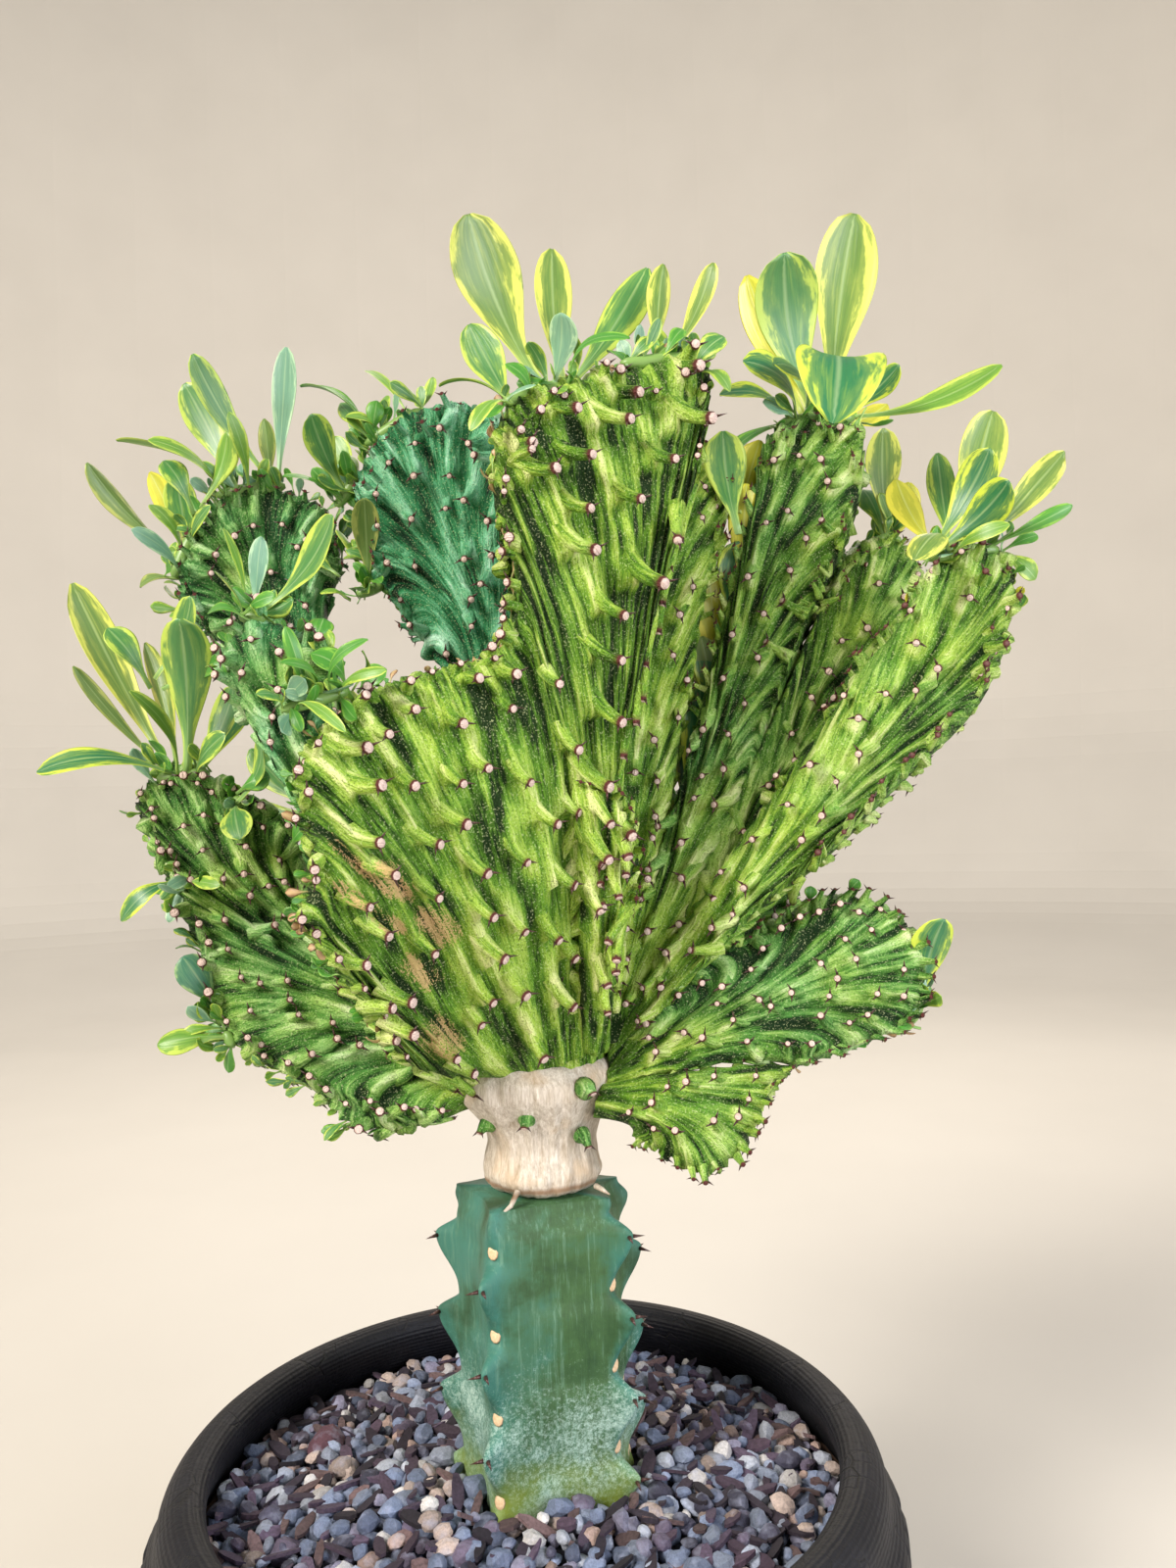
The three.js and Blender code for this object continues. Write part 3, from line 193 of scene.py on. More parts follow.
def put_mesh(name, points, faces, material, smooth=True, attributes=None, rides=True):
    """Puts points in millimetres and arrays of faces into a mesh in metres, which rides on the pot's body."""
    mesh = bpy.data.meshes.new(name)
    faces = [np.asarray(part, np.int32) for part in faces]
    sizes = np.concatenate([np.full(len(part), part.shape[1], np.int32) for part in faces])
    corners = np.concatenate([part.ravel() for part in faces])
    mesh.vertices.add(len(points))
    mesh.vertices.foreach_set("co", (np.asarray(points) * MM).astype(np.float32).ravel())
    mesh.loops.add(len(corners))
    mesh.loops.foreach_set("vertex_index", corners)
    mesh.polygons.add(len(sizes))
    mesh.polygons.foreach_set("loop_start", np.insert(np.cumsum(sizes)[:-1], 0, 0).astype(np.int32))
    mesh.update(calc_edges=True)
    mesh.polygons.foreach_set("use_smooth", np.full(len(mesh.polygons), smooth))
    kinds = {1: ("FLOAT", "value"), 3: ("FLOAT_VECTOR", "vector"), 4: ("FLOAT_COLOR", "color")}
    for key, values in (attributes or {}).items():
        values = np.asarray(values, np.float32)
        kind, field = kinds[1 if values.ndim == 1 else values.shape[1]]
        mesh.attributes.new(key, kind, "POINT").data.foreach_set(field, values.ravel())
    mesh.materials.append(material)
    piece = bpy.data.objects.new(name, mesh)
    bpy.context.scene.collection.objects.link(piece)
    if rides:
        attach(piece, "root")
    return piece


pot_profile, pot_along = even_profile(POT_OUTSIDE + POT_INSIDE, POT_SPACING, 2)
turn, height = turn_and_height(pot_profile, POT_SIDES)
outer_wall = (np.arange(len(pot_profile)) < np.argmax(pot_profile[:, 1]))[:, None]
lug = (turn * TREAD_LUGS / (2 * np.pi) + TREAD_LEAN * (height - BAND_MIDDLE)) % 1
groove = smooth_step(lug, 0.76, 0.80) * (1 - smooth_step(lug, 0.95, 0.99))
slit = sum(np.exp(-(((lug - middle) / SLIT_WIDTH) ** 2)) for middle in SLIT_PLACES)
in_band = sum(smooth_step(height, a, a + 3) * (1 - smooth_step(height, b - 3, b)) for a, b in TREAD_BANDS)
radius = pot_profile[:, :1] - outer_wall * in_band * (TREAD_DEPTH * groove + SLIT_DEPTH * slit)
pot_points, pot_faces = turned_shape(radius, turn, height)

# Moulded rubber gone matt outdoors: near black, dusty in its recesses, with fine turned lines on the rim
# and short cracks in the tread.
rubber, tree, place = new_material("weathered_moulded_rubber", Roughness=0.6, Specular_IOR_Level=0.35)
profile_mm = add_node(tree, "Attribute", output=2, attribute_name="profile_mm")
dust = add_node(tree, "TexNoise", {"Vector": place, "Scale": 38.0, "Detail": 6.0, "Roughness": 0.7})
grit = add_node(tree, "TexNoise", {"Vector": place, "Scale": 420.0, "Detail": 3.0})
cells = add_node(tree, "TexVoronoi", {"Vector": place, "Scale": 95.0}, feature="DISTANCE_TO_EDGE")
crack = add_node(tree, "MapRange", {0: cells, 1: 0.0, 2: 0.07, 3: 1.0, 4: 0.0})
cracked = add_node(tree, "MapRange", {0: dust, 1: 0.52, 2: 0.62, 3: 0.0, 4: 1.0})
crack = add_node(tree, "Math", {0: crack, 1: cracked}, operation="MULTIPLY")
lines = add_node(tree, "Math", {0: profile_mm, 1: 2.6}, operation="MULTIPLY")
lines = add_node(tree, "Math", {0: lines}, operation="SINE")
colour = lay_tints(tree, linear("#0b0c13"), [
    (dust, 0.45, 0.75, 0.6, "#1f2029"), (crack, 0.0, 1.0, 1.0, "#050505")])
relief = add_node(tree, "Math", {0: lines, 1: 0.22, 2: grit}, operation="MULTIPLY_ADD")
relief = add_node(tree, "Math", {0: crack, 1: -1.4, 2: relief}, operation="MULTIPLY_ADD")
bump = add_node(tree, "Bump", {"Height": relief, "Strength": 0.55, "Distance": 0.0009})
feed_shader(tree, Base_Color=colour, Normal=bump)
pot_lines = np.concatenate([np.repeat(pot_along, POT_SIDES), [0, 0]])
pot = put_mesh("rubber_pot", pot_points, pot_faces, rubber, attributes={"profile_mm": pot_lines})
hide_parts("pot")

# The potting mix fills the pot under the gravel: dark bark and peat, poured in round the roots. Its CAD
# solid has the right shape and stays, with a crumbly finish.
soil, tree, place = new_material("bark_potting_mix", Roughness=0.95)
crumbs = add_node(tree, "TexVoronoi", {"Vector": place, "Scale": 260.0}, output=1)
clods = add_node(tree, "TexNoise", {"Vector": place, "Scale": 90.0, "Detail": 8.0})
lightness = add_node(tree, "Mix", {0: 0.6, 6: clods, 7: crumbs}, **RGBA)
colour = add_node(tree, "Mix", {0: lightness, 6: linear("#1a110c"), 7: linear("#5b4232")}, **RGBA)
bump = add_node(tree, "Bump", {"Height": clods, "Strength": 0.9, "Distance": 0.002})
feed_shader(tree, Base_Color=colour, Normal=bump)
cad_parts["potting_mix"].data.materials.clear()
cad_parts["potting_mix"].data.materials.append(soil)

# The rootstock is the ribbed lower stem the crest was grafted on: five ribs with scalloped, toothed edges
# and hollow furrows, one growth with its roots. It comes before the gravel, which lies against it.
STOCK_AXIS = (8, -5)
STOCK = {"foot": 112, "top": 299.5, "rib_radius": 42, "shoulder": 9}
TOOTH = {"height": 5.5, "spacing": 34, "notch": 0.74, "on_shoulder": 0.12}
STOCK_RIBS = [(-118, 6), (-30, 20), (16, 2), (95, 24), (168, 12)]
STOCK_ROWS, STOCK_STEPS = 250, 9
ROOT_COUNT = 5


def along_curve(points, stations, t):
    """A smooth curve through points: between two, a cubic whose slope at each is its neighbours' line."""
    points, stations = np.asarray(points, float), np.asarray(stations, float)
    last = len(points) - 1
    low, high = np.maximum(np.arange(last + 1) - 1, 0), np.minimum(np.arange(last + 1) + 1, last)
    shape = (-1,) + (1,) * (points.ndim - 1)
    slope = (points[high] - points[low]) / (stations[high] - stations[low]).reshape(shape)
    k = np.searchsorted(stations[1:-1], t, side="left")
    span = (stations[k + 1] - stations[k]).reshape(shape)
    s = (t - stations[k]).reshape(shape) / span
    return (points[k] * (2 * s**3 - 3 * s**2 + 1) + slope[k] * span * (s**3 - 2 * s**2 + s)
            + points[k + 1] * (3 * s**2 - 2 * s**3) + slope[k + 1] * span * (s**3 - s**2))


def stock_columns():
    """Four points a rib: its edge, a shoulder, the furrow's floor and the next shoulder."""
    columns = []
    for k, (angle, lift) in enumerate(STOCK_RIBS):
        next_angle, next_lift = STOCK_RIBS[(k + 1) % len(STOCK_RIBS)]
        spread = (next_angle - angle) % 360
        furrow = mix(33, 28, float(smooth_step(spread, 46, 88)))
        edge = STOCK["rib_radius"]
        low = TOOTH["on_shoulder"]
        columns += [(angle, lift, edge, 1.0), (angle + STOCK["shoulder"], lift, edge - 6, low),
                    (angle + spread / 2, next_lift, furrow, low),
                    (angle + spread - STOCK["shoulder"], next_lift, edge - 6, low)]
    return np.array(columns)


def stock_share(z):
    """The stock's width at a height, as a share of its full width: it narrows under the gravel."""
    return mix(0.55, 1, smooth_step(z, STOCK["foot"], 182)) * mix(1, 0.88, smooth_step(z, 286, 300))


def stock_ring(columns, z):
    """Radius times share plus teeth: half a cosine down to the notch below each tooth, and a quick half back
    up to the next one."""
    angle = np.radians(columns[:, 0])[None, :]
    z = np.asarray(z, float)[:, None]
    below = ((STOCK["top"] + columns[None, :, 1] - z) / TOOTH["spacing"]) % 1
    notch = TOOTH["notch"]
    wave = np.cos(np.pi * np.where(below < notch, below / notch, 1 + (below - notch) / (1 - notch)))
    strength = smooth_step(z, 170, 184) * (1 - smooth_step(z, 290, 298))
    r = columns[None, :, 2] * stock_share(z) + TOOTH["height"] * strength * columns[None, :, 3] * wave
    return round_axis(r, angle, z, *STOCK_AXIS)


columns = stock_columns()
corners = stock_ring(columns, np.linspace(STOCK["foot"], STOCK["top"], STOCK_ROWS)).transpose(1, 0, 2)
stations = np.arange(-2, len(corners) + 3)
steps = np.arange(len(corners) * STOCK_STEPS) / STOCK_STEPS
corners = np.concatenate([corners[-2:], corners, corners[:3]])
stock_grid = along_curve(corners, stations, steps).transpose(1, 0, 2)
stock_edge = along_curve(np.concatenate([columns[-2:], columns, columns[:3]])[:, 3:], stations, steps)[:, 0]
stock_edge = np.clip(stock_edge, 0, 1)
stock_points = np.vstack([stock_grid.reshape(-1, 3), stock_grid[0].mean(0), stock_grid[-1].mean(0)])
stock_faces = outward(stock_points, closed_rings(STOCK_ROWS, len(steps)))


def unit(vectors):
    """Vectors cut to length one."""
    return vectors / np.maximum(np.linalg.norm(vectors, axis=-1, keepdims=True), 1e-9)


def rings_round(centres, side, up, radii, sides):
    """A ring of points round each centre: its radius times side cos a + up sin a."""
    angle = np.linspace(0, 2 * np.pi, sides, endpoint=False)[None, :, None]
    round_it = side[:, None] * np.cos(angle) + up[:, None] * np.sin(angle)
    return centres[:, None] + radii[:, None, None] * round_it


def tube(path, radii, sides=6):
    """A round tube along a path of points: rings square to the path, closed by a middle point at each end."""
    path, radii = np.asarray(path, float), np.asarray(radii, float)
    ahead = unit(np.gradient(path, axis=0))
    side = unit(np.cross(ahead, [0.31, 0.22, 0.93]))
    rings = rings_round(path, side, np.cross(side, ahead), radii, sides)
    points = np.vstack([rings.reshape(-1, 3), path[:1], path[-1:]])
    return points, outward(points, closed_rings(len(path), sides))


def join_parts(parts):
    """Several (points, faces) as one, the face numbers moved up by the points before them."""
    points, quads, triangles, start = [], [], [], 0
    for part_points, part_faces in parts:
        points.append(part_points)
        for faces in part_faces:
            (quads if faces.shape[1] == 4 else triangles).append(faces + start)
        start += len(part_points)
    faces = [np.vstack(group) for group in (quads, triangles) if group]
    return np.vstack(points), faces


random_roots = np.random.default_rng(11)
stock_parts = [(stock_points, stock_faces)]
t = np.linspace(0, 1, 12)
for k in range(ROOT_COUNT):
    turn_of_root = 2 * np.pi * (k + 0.3) / ROOT_COUNT + 0.3 * random_roots.random()
    reach, drop = 62 + 26 * random_roots.random(), 48 + 28 * random_roots.random()
    depth = STOCK["foot"] + 12 - drop * t**1.3
    root_path = round_axis(8 + reach * t, turn_of_root + 0.35 * t, depth, *STOCK_AXIS)
    stock_parts.append(tube(root_path, mix(7.5, 1.6, t)))
stock_edges = np.concatenate([np.tile(stock_edge, STOCK_ROWS), [0, 0]]
                             + [np.zeros(len(points)) for points, _ in stock_parts[1:]])
stock_all, stock_all_faces = join_parts(stock_parts)

# Waxy green stem skin: grey-green with fine upright scratches, blue-green at the ribs and in patches, a pale
# crust of bloom that thickens downwards, and a blotched yellow-green foot.
stem_skin, tree, place = new_material("waxy_stem_skin", Roughness=0.5, Specular_IOR_Level=0.35)
right_m, _, up_m = add_node(tree, "SeparateXYZ", {0: place}).node.outputs
edge_share = add_node(tree, "Attribute", output=2, attribute_name="rib_edge")
patches = add_node(tree, "TexNoise", {"Vector": place, "Scale": 28.0, "Detail": 8.0, "Roughness": 0.66})
upright = add_node(tree, "VectorMath", {0: place, 1: (1.0, 1.0, 0.05)}, operation="MULTIPLY")
scratches = add_node(tree, "TexNoise", {"Vector": upright, "Scale": 560.0, "Detail": 4.0, "Roughness": 0.7})
crust = add_node(tree, "TexNoise", {"Vector": place, "Scale": 560.0, "Detail": 7.0, "Roughness": 0.95})
low_part = add_node(tree, "MapRange", {0: up_m, 1: 0.29, 2: 0.21, 3: 0.1, 4: 0.5})
left_part = add_node(tree, "MapRange", {0: right_m, 1: 0.02, 2: -0.015, 3: 0.0, 4: 0.55})
bluish, crusted = patches, crust
for part, share in ((edge_share, 0.35), (left_part, 0.4)):
    bluish = add_node(tree, "Math", {0: part, 1: share, 2: bluish}, operation="MULTIPLY_ADD")
for part, share in ((patches, 0.45), (low_part, 0.8)):
    crusted = add_node(tree, "Math", {0: part, 1: share, 2: crusted}, operation="MULTIPLY_ADD")
blotched = add_node(tree, "Math", {0: patches, 1: 0.08, 2: up_m}, operation="MULTIPLY_ADD")
colour = lay_tints(tree, linear("#3a5a33"), [
    (scratches, 0.45, 0.3, 0.4, "#1a301c"), (bluish, 0.53, 0.85, 0.85, "#3a7468"),
    (scratches, 0.54, 0.68, 0.5, "#6b907a"), (patches, 0.5, 0.36, 0.65, "#1c3a22"),
    (crusted, 1.1, 1.25, 0.8, "#bad3c9"), (blotched, 0.24, 0.2, 0.75, "#8c9a30")])
relief = add_node(tree, "Math", {0: scratches, 1: 0.6, 2: crust}, operation="MULTIPLY_ADD")
bump = add_node(tree, "Bump", {"Height": relief, "Strength": 0.35, "Distance": 0.0007})
feed_shader(tree, Base_Color=colour, Normal=bump)
stock = put_mesh("rootstock_stem", stock_all, stock_all_faces, stem_skin,
                 attributes={"rib_edge": stock_edges})
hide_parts("rootstock")

# Each tooth of the stock carries two short dark spines of horn and, on the rib below it, an oval leaf scar
# of pale cork. All of them have grown from the rib, so they sit a little inside it.
SPINE_LENGTH, SPINE_RADIUS, SPINE_BAND = 6.5, 1.1, (180, 292)
SCAR_BELOW, SCAR_RADII, SCAR_BAND = 22.0, (2.4, 3.4), (176, 290)
TEETH_A_RIB = 5


def copies(faces, count, size):
    """The faces of one shape repeated for count shapes of size points each."""
    return (faces[None] + np.arange(count)[:, None, None] * size).reshape(-1, faces.shape[1])


def discs(centres, out, radii, sides=10):
    """Low domes: a ring of points on an upright oval, the same ring raised, a smaller one and a middle point.
    Also gives each point's level, 0 at the rim and 1 at the middle."""
    out = unit(out)
    side = unit(np.cross([0.0, 0, 1], out))
    up = np.cross(out, side)
    angle = np.linspace(0, 2 * np.pi, sides, endpoint=False)[None, :, None]
    oval = side[:, None] * (radii[0] * np.cos(angle)) + up[:, None] * (radii[1] * np.sin(angle))
    rings = [centres[:, None] + out[:, None] * rise + oval * share
             for share, rise in ((1.0, -1.2), (1.0, 0.1), (0.8, 0.5))]
    points = np.concatenate([*rings, (centres + out * 0.35)[:, None], (centres - out * 1.2)[:, None]], axis=1)
    ring = np.arange(sides)
    caps = np.vstack([ring_cap(ring + 2 * sides, 3 * sides), ring_cap(ring[::-1], 3 * sides + 1)])
    level = np.tile(np.concatenate([np.repeat([0.0, 0.3, 1.0], sides), [1.0, 0.0]]), len(centres))
    faces = [copies(part, *points.shape[:2]) for part in (grid_faces(3, sides, wrap=True), caps)]
    return points.reshape(-1, 3), faces, level


def spikes(roots, directions, lengths, radii, sides):
    """Thin cones: a ring of points at the root and one point at the tip, closed at the root."""
    directions = unit(directions)
    side = unit(np.cross(directions, [0.13, 0.21, 0.97]))
    ring = rings_round(roots, side, np.cross(side, directions), radii, sides)
    tips = roots + directions * lengths[:, None]
    points = np.concatenate([ring, tips[:, None], roots[:, None]], axis=1)
    shape = np.vstack([ring_cap(np.arange(sides), sides), ring_cap(np.arange(sides)[::-1], sides + 1)])
    faces = [copies(part, len(roots), sides + 2) for part in outward(points[0], [shape])]
    return points.reshape(-1, 3), faces


scars, spines = [], []
toward_front = np.array([0.0, -0.5, 0.1])
for rib in columns[columns[:, 3] == 1.0]:
    for n in range(TEETH_A_RIB):
        z = STOCK["top"] + rib[1] - n * TOOTH["spacing"]
        way = np.array([math.cos(math.radians(rib[0])), math.sin(math.radians(rib[0])), 0.0])
        sideways = np.cross([0, 0, 1], way)
        if SPINE_BAND[0] < z < SPINE_BAND[1]:
            at = stock_ring(rib[None], [z])[0, 0]
            for hand in (-1, 1):
                spines.append((at - way * 1.4 + sideways * hand * 0.7 - [0, 0, 0.8],
                               way * 0.75 + sideways * hand * 0.8 - [0, 0, 0.1]))
        if SCAR_BAND[0] < z - SCAR_BELOW < SCAR_BAND[1]:
            at = stock_ring(rib[None], [z - SCAR_BELOW])[0, 0]
            scars.append((at - way * 0.5 + toward_front * 1.6, way + toward_front))
scar_points, scar_faces, scar_level = discs(*np.array(scars).transpose(1, 0, 2), SCAR_RADII)

# Cork of old leaf scars: pale beige with a brown rim.
cork_scar, tree, place = new_material("leaf_scar_cork", Roughness=0.85)
rim_share = add_node(tree, "Attribute", output=2, attribute_name="scar_level")
flecks = add_node(tree, "TexNoise", {"Vector": place, "Scale": 900.0, "Detail": 3.0})
pale = add_node(tree, "Mix", {0: flecks, 6: linear("#b98f63"), 7: linear("#ead3b0")}, **RGBA)
colour = add_node(tree, "Mix", {0: rim_share, 6: linear("#6d4a30"), 7: pale}, **RGBA)
feed_shader(tree, Base_Color=colour)
stock_scars = put_mesh("rootstock_leaf_scars", scar_points, scar_faces, cork_scar,
                       attributes={"scar_level": scar_level})

# Horn of the spines: dark purple-brown, slightly glossy.
horn, tree, place = new_material("spine_horn", Roughness=0.35)
grain = add_node(tree, "TexNoise", {"Vector": place, "Scale": 500.0, "Detail": 2.0})
colour = add_node(tree, "Mix", {0: grain, 6: linear("#1d1116"), 7: linear("#5d3a33")}, **RGBA)
feed_shader(tree, Base_Color=colour)
spine_roots, spine_ways = np.array(spines).transpose(1, 0, 2)
each_spine = np.ones(len(spines))
spine_points, spine_faces = spikes(spine_roots, spine_ways, SPINE_LENGTH * each_spine,
                                   SPINE_RADIUS * each_spine, sides=6)
stock_spines = put_mesh("rootstock_spines", spine_points, spine_faces, horn)

# The gravel is a top dressing of mixed stone, heaped a little towards the stem: blue-grey and beige chips,
# purple lava and slivers of bark, tipped on loose. A near-black bed of grit fills the gaps between the
# stones;
# its darkness is partly painted shade in those gaps.
GRAVEL_RIM, GRAVEL_MOUND, GRAVEL_LEVEL = 162.5, 175.0, 172.0
BED_STEPS, BED_SIDES, BED_RADIUS, BED_FLOOR = 26, 180, 142.2, 156.4
STONE_PALETTE = ["#8593b2", "#98a4be", "#a7b0c6", "#6c7894", "#5b6580", "#bfc5d4", "#c9b5ac", "#b79d94",
                 "#6f647c", "#dcd8d8", "#8d8aa4", "#4b4a60", "#7e8cac"]
BARK_PALETTE = ["#3c3040", "#4b3b4c", "#2f2734", "#584a60", "#705a5c"]
LAVA_COLOUR, LAVA_PLACE, LAVA_RADII = "#5a3a46", [-97.0, 33.0, 169.5], [11.0, 9.0, 8.5]
# A layer of stones: how many, how wide apart, how far from stem and wall; their middle radius, its spread,
# the least and the most; their lift, the share of the radius added to it, and the least and added stretch.
STONE_LAYERS = [(1250, 6.4, 4.0, 4.3, 0.22, 2.6, 7.0, -3.0, 0.35, 0.75, 0.5),
                (620, 8.5, 4.5, 3.9, 0.25, 2.3, 6.5, 0.8, 0.3, 0.7, 0.6)]
SLIVER_COUNT, SLIVER_APART, SLIVER_EDGE, SLIVER_LEAN = 420, 8.0, 6.0, 0.28
SLIVER_SIZES = [(4.0, 5.5), (1.4, 1.5), (0.6, 0.5)]


def stem_radius(angle):
    """How far the stock's outline at the gravel lies from its own axis at an angle."""
    dx, dy = (stock_ring(columns, [GRAVEL_LEVEL])[0, :, :2] - STOCK_AXIS).T
    around = np.arctan2(dy, dx)
    order = np.argsort(around)
    return np.interp(angle, around[order], np.hypot(dx, dy)[order], period=2 * np.pi)


def mound_height(x, y):
    """The heap's height: a smooth step from the rim's level up to the stem's."""
    return mix(GRAVEL_MOUND, GRAVEL_RIM, smooth_step(np.hypot(x, y) / 143, 0.3, 1.0))


bed_angle = np.linspace(-np.pi, np.pi, BED_SIDES, endpoint=False)
inner_xy = round_axis(stem_radius(bed_angle) - 2.5, bed_angle, 0, *STOCK_AXIS)[:, :2]
outer_xy = round_axis(BED_RADIUS, bed_angle, 0)[:, :2]
bed_xy = mix(inner_xy, outer_xy, np.linspace(0, 1, BED_STEPS)[:, None, None])
random_bed = np.random.default_rng(29)
bed_z = mound_height(bed_xy[..., 0], bed_xy[..., 1]) - 5.5 + 2.6 * random_bed.random(bed_xy.shape[:2])
bed_floor = np.full(bed_z.shape, BED_FLOOR)
bed_grid = np.concatenate([np.dstack([bed_xy, bed_z]), np.dstack([bed_xy[::-1], bed_floor])])
bed_points = bed_grid.reshape(-1, 3)
bed_quads = grid_faces(len(bed_grid) + 1, BED_SIDES, wrap=True) % len(bed_points)

# Grit between the stones: crumbs of stone and bark, near black, partly painted shade where the gaps lie in
# shadow.
grit_with_gap_shade, tree, place = new_material("dark_grit_painted_gap_shade", Roughness=0.95)
grains = add_node(tree, "TexVoronoi", {"Vector": place, "Scale": 330.0}, output=1)
colour = add_node(tree, "Mix", {0: grains, 6: linear("#09090e"), 7: linear("#272835")}, **RGBA)
bump = add_node(tree, "Bump", {"Height": grains, "Strength": 0.8, "Distance": 0.0015})
feed_shader(tree, Base_Color=colour, Normal=bump)
grit_and_shade_bed = put_mesh("gravel_grit_and_shade_bed", bed_points, outward(bed_points, [bed_quads]), grit_with_gap_shade)
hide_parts("gravel")


def ball(levels):
    """An icosahedron whose triangles are split in four, levels times, and pushed out to a unit ball."""
    g = (1 + 5**0.5) / 2
    points = np.array([[-1, g, 0], [1, g, 0], [-1, -g, 0], [1, -g, 0], [0, -1, g], [0, 1, g], [0, -1, -g],
                       [0, 1, -g], [g, 0, -1], [g, 0, 1], [-g, 0, -1], [-g, 0, 1]], float)
    faces = np.array([[0, 11, 5], [0, 5, 1], [0, 1, 7], [0, 7, 10], [0, 10, 11], [1, 5, 9], [5, 11, 4],
                      [11, 10, 2], [10, 7, 6], [7, 1, 8], [3, 9, 4], [3, 4, 2], [3, 2, 6], [3, 6, 8],
                      [3, 8, 9], [4, 9, 5], [2, 4, 11], [6, 2, 10], [8, 6, 7], [9, 8, 1]])
    for _ in range(levels):
        pairs = np.sort(np.vstack([faces[:, [0, 1]], faces[:, [1, 2]], faces[:, [2, 0]]]), axis=1)
        edges, which = np.unique(pairs, axis=0, return_inverse=True)
        ab, bc, ca = np.split(which.ravel() + len(points), 3)
        points = np.vstack([points, (points[edges[:, 0]] + points[edges[:, 1]]) / 2])
        a, b, c = faces.T
        faces = np.vstack([np.stack(f, -1) for f in ((a, ab, ca), (ab, b, bc), (ca, bc, c), (ab, bc, ca))])
    return unit(points), faces


def scatter(draw, count, spacing, edge):
    """Places on the heap at least a spacing apart, drawn one after another, clear of stem and wall."""
    kept = np.empty((0, 2))
    for _ in range(60):
        trial = (draw.random((count * 2, 2)) * 2 - 1) * 140
        dx, dy = (trial - STOCK_AXIS).T
        clear = np.hypot(dx, dy) > stem_radius(np.arctan2(dy, dx)) + edge
        for point in trial[clear & (np.hypot(*trial.T) < 141.5 - edge)]:
            if len(kept) < count and (not len(kept) or np.min(np.sum((kept - point) ** 2, 1)) > spacing**2):
                kept = np.vstack([kept, point])
        if len(kept) >= count:
            break
    return kept


stone_shape, stone_faces = ball(1)


def broken_stones(draw, centres, sizes):
    """Unit balls cut flat by random planes, where a point past a plane is pulled back to it, then stretched,
    and turned by a random unit quaternion: v + 2 q x (q x v + w v)."""
    count = len(centres)
    planes = unit(draw.normal(size=(count, 9, 3)))
    depth = 0.62 + 0.3 * draw.random((count, 9))
    reach = np.einsum("pk,cnk->cpn", stone_shape, planes)
    pull = np.min(np.where(reach > 1e-6, depth[:, None, :] / np.maximum(reach, 1e-6), 9.0), axis=2)
    points = stone_shape[None] * np.minimum(pull, 1.0)[:, :, None] * sizes[:, None, :]
    w, q = np.split(unit(draw.normal(size=(count, 1, 4))), [1], axis=-1)
    points = points + 2 * np.cross(q, np.cross(q, points) + w * points)
    points = points * np.array([1, 1, 0.85]) + centres[:, None]
    return points.reshape(-1, 3), [copies(stone_faces, count, len(stone_shape))]


def palette_draw(draw, palette, count, per_piece):
    """One palette colour for each piece, a little lighter or darker, on all its points."""
    colours = np.array([linear(c) for c in palette])[draw.integers(0, len(palette), count)]
    colours[:, :3] *= (0.36 + 0.6 * draw.random((count, 1)))
    return np.repeat(colours, per_piece, axis=0)


random_stones = np.random.default_rng(31)
layers = []
for count, spacing, edge, middle, spread, least, most, lift, rise, low, more in STONE_LAYERS:
    places = scatter(random_stones, count, spacing, edge)
    radii = np.clip(random_stones.lognormal(math.log(middle), spread, len(places)), least, most)
    centres = np.column_stack([places, mound_height(*places.T) + lift + rise * radii])
    stretch = low + more * random_stones.random((len(places), 3))
    layers.append(broken_stones(random_stones, centres, radii[:, None] * stretch))
layers.append(broken_stones(random_stones, np.array([LAVA_PLACE]), np.array([LAVA_RADII])))
stone_points, stone_quads = join_parts(layers)
each = len(stone_shape)
palettes = (STONE_PALETTE, STONE_PALETTE, [LAVA_COLOUR])
stone_colours = np.vstack([palette_draw(random_stones, palette, len(points) // each, each)
                           for palette, (points, _) in zip(palettes, layers)])

# Broken stone: each chip one colour, matt, with fine grains and pale dust.
stone, tree, place = new_material("broken_stone", Roughness=0.8)
own = add_node(tree, "Attribute", attribute_name="piece_colour")
grains = add_node(tree, "TexNoise", {"Vector": place, "Scale": 900.0, "Detail": 4.0, "Roughness": 0.8})
dust = add_node(tree, "TexNoise", {"Vector": place, "Scale": 160.0, "Detail": 3.0})
shade = add_node(tree, "MapRange", {0: grains, 1: 0.3, 2: 0.7, 3: 0.62, 4: 1.25})
colour = add_node(tree, "Mix", {0: 1.0, 6: own, 7: shade}, blend_type="MULTIPLY", **RGBA)
colour = lay_tints(tree, colour, [(dust, 0.5, 0.75, 0.45, "#a8aec6")])
bump = add_node(tree, "Bump", {"Height": grains, "Strength": 0.5, "Distance": 0.0008})
feed_shader(tree, Base_Color=colour, Normal=bump)
stones = put_mesh("gravel_stones", stone_points, stone_quads, stone, smooth=False,
                  attributes={"piece_colour": stone_colours})

# Slivers of bark lie among the stones: flat splinters split along the grain and narrow at both ends, tipped
# on loose with the gravel. Each is a box of four outlines that leans and points at random.
random_bark = np.random.default_rng(37)
places = scatter(random_bark, SLIVER_COUNT, SLIVER_APART, SLIVER_EDGE)
sliver_size = np.stack([low + more * random_bark.random(len(places)) for low, more in SLIVER_SIZES], -1)
square = ((-1, -1), (1, -1), (1, 1), (-1, 1))
box = np.array([[x, y, z] for x in (-1, -0.4, 0.5, 1) for y, z in square], float)
box[:4, 1] *= 0.45
box[-4:, 1] *= 0.25
box[4:8, 1] += 0.12
lean = random_bark.normal(size=(len(places), 2)) * SLIVER_LEAN
heading = (random_bark.random(len(places)) * 2 * np.pi)[:, None]
x, y, z = np.moveaxis(box[None] * sliver_size[:, None], -1, 0)
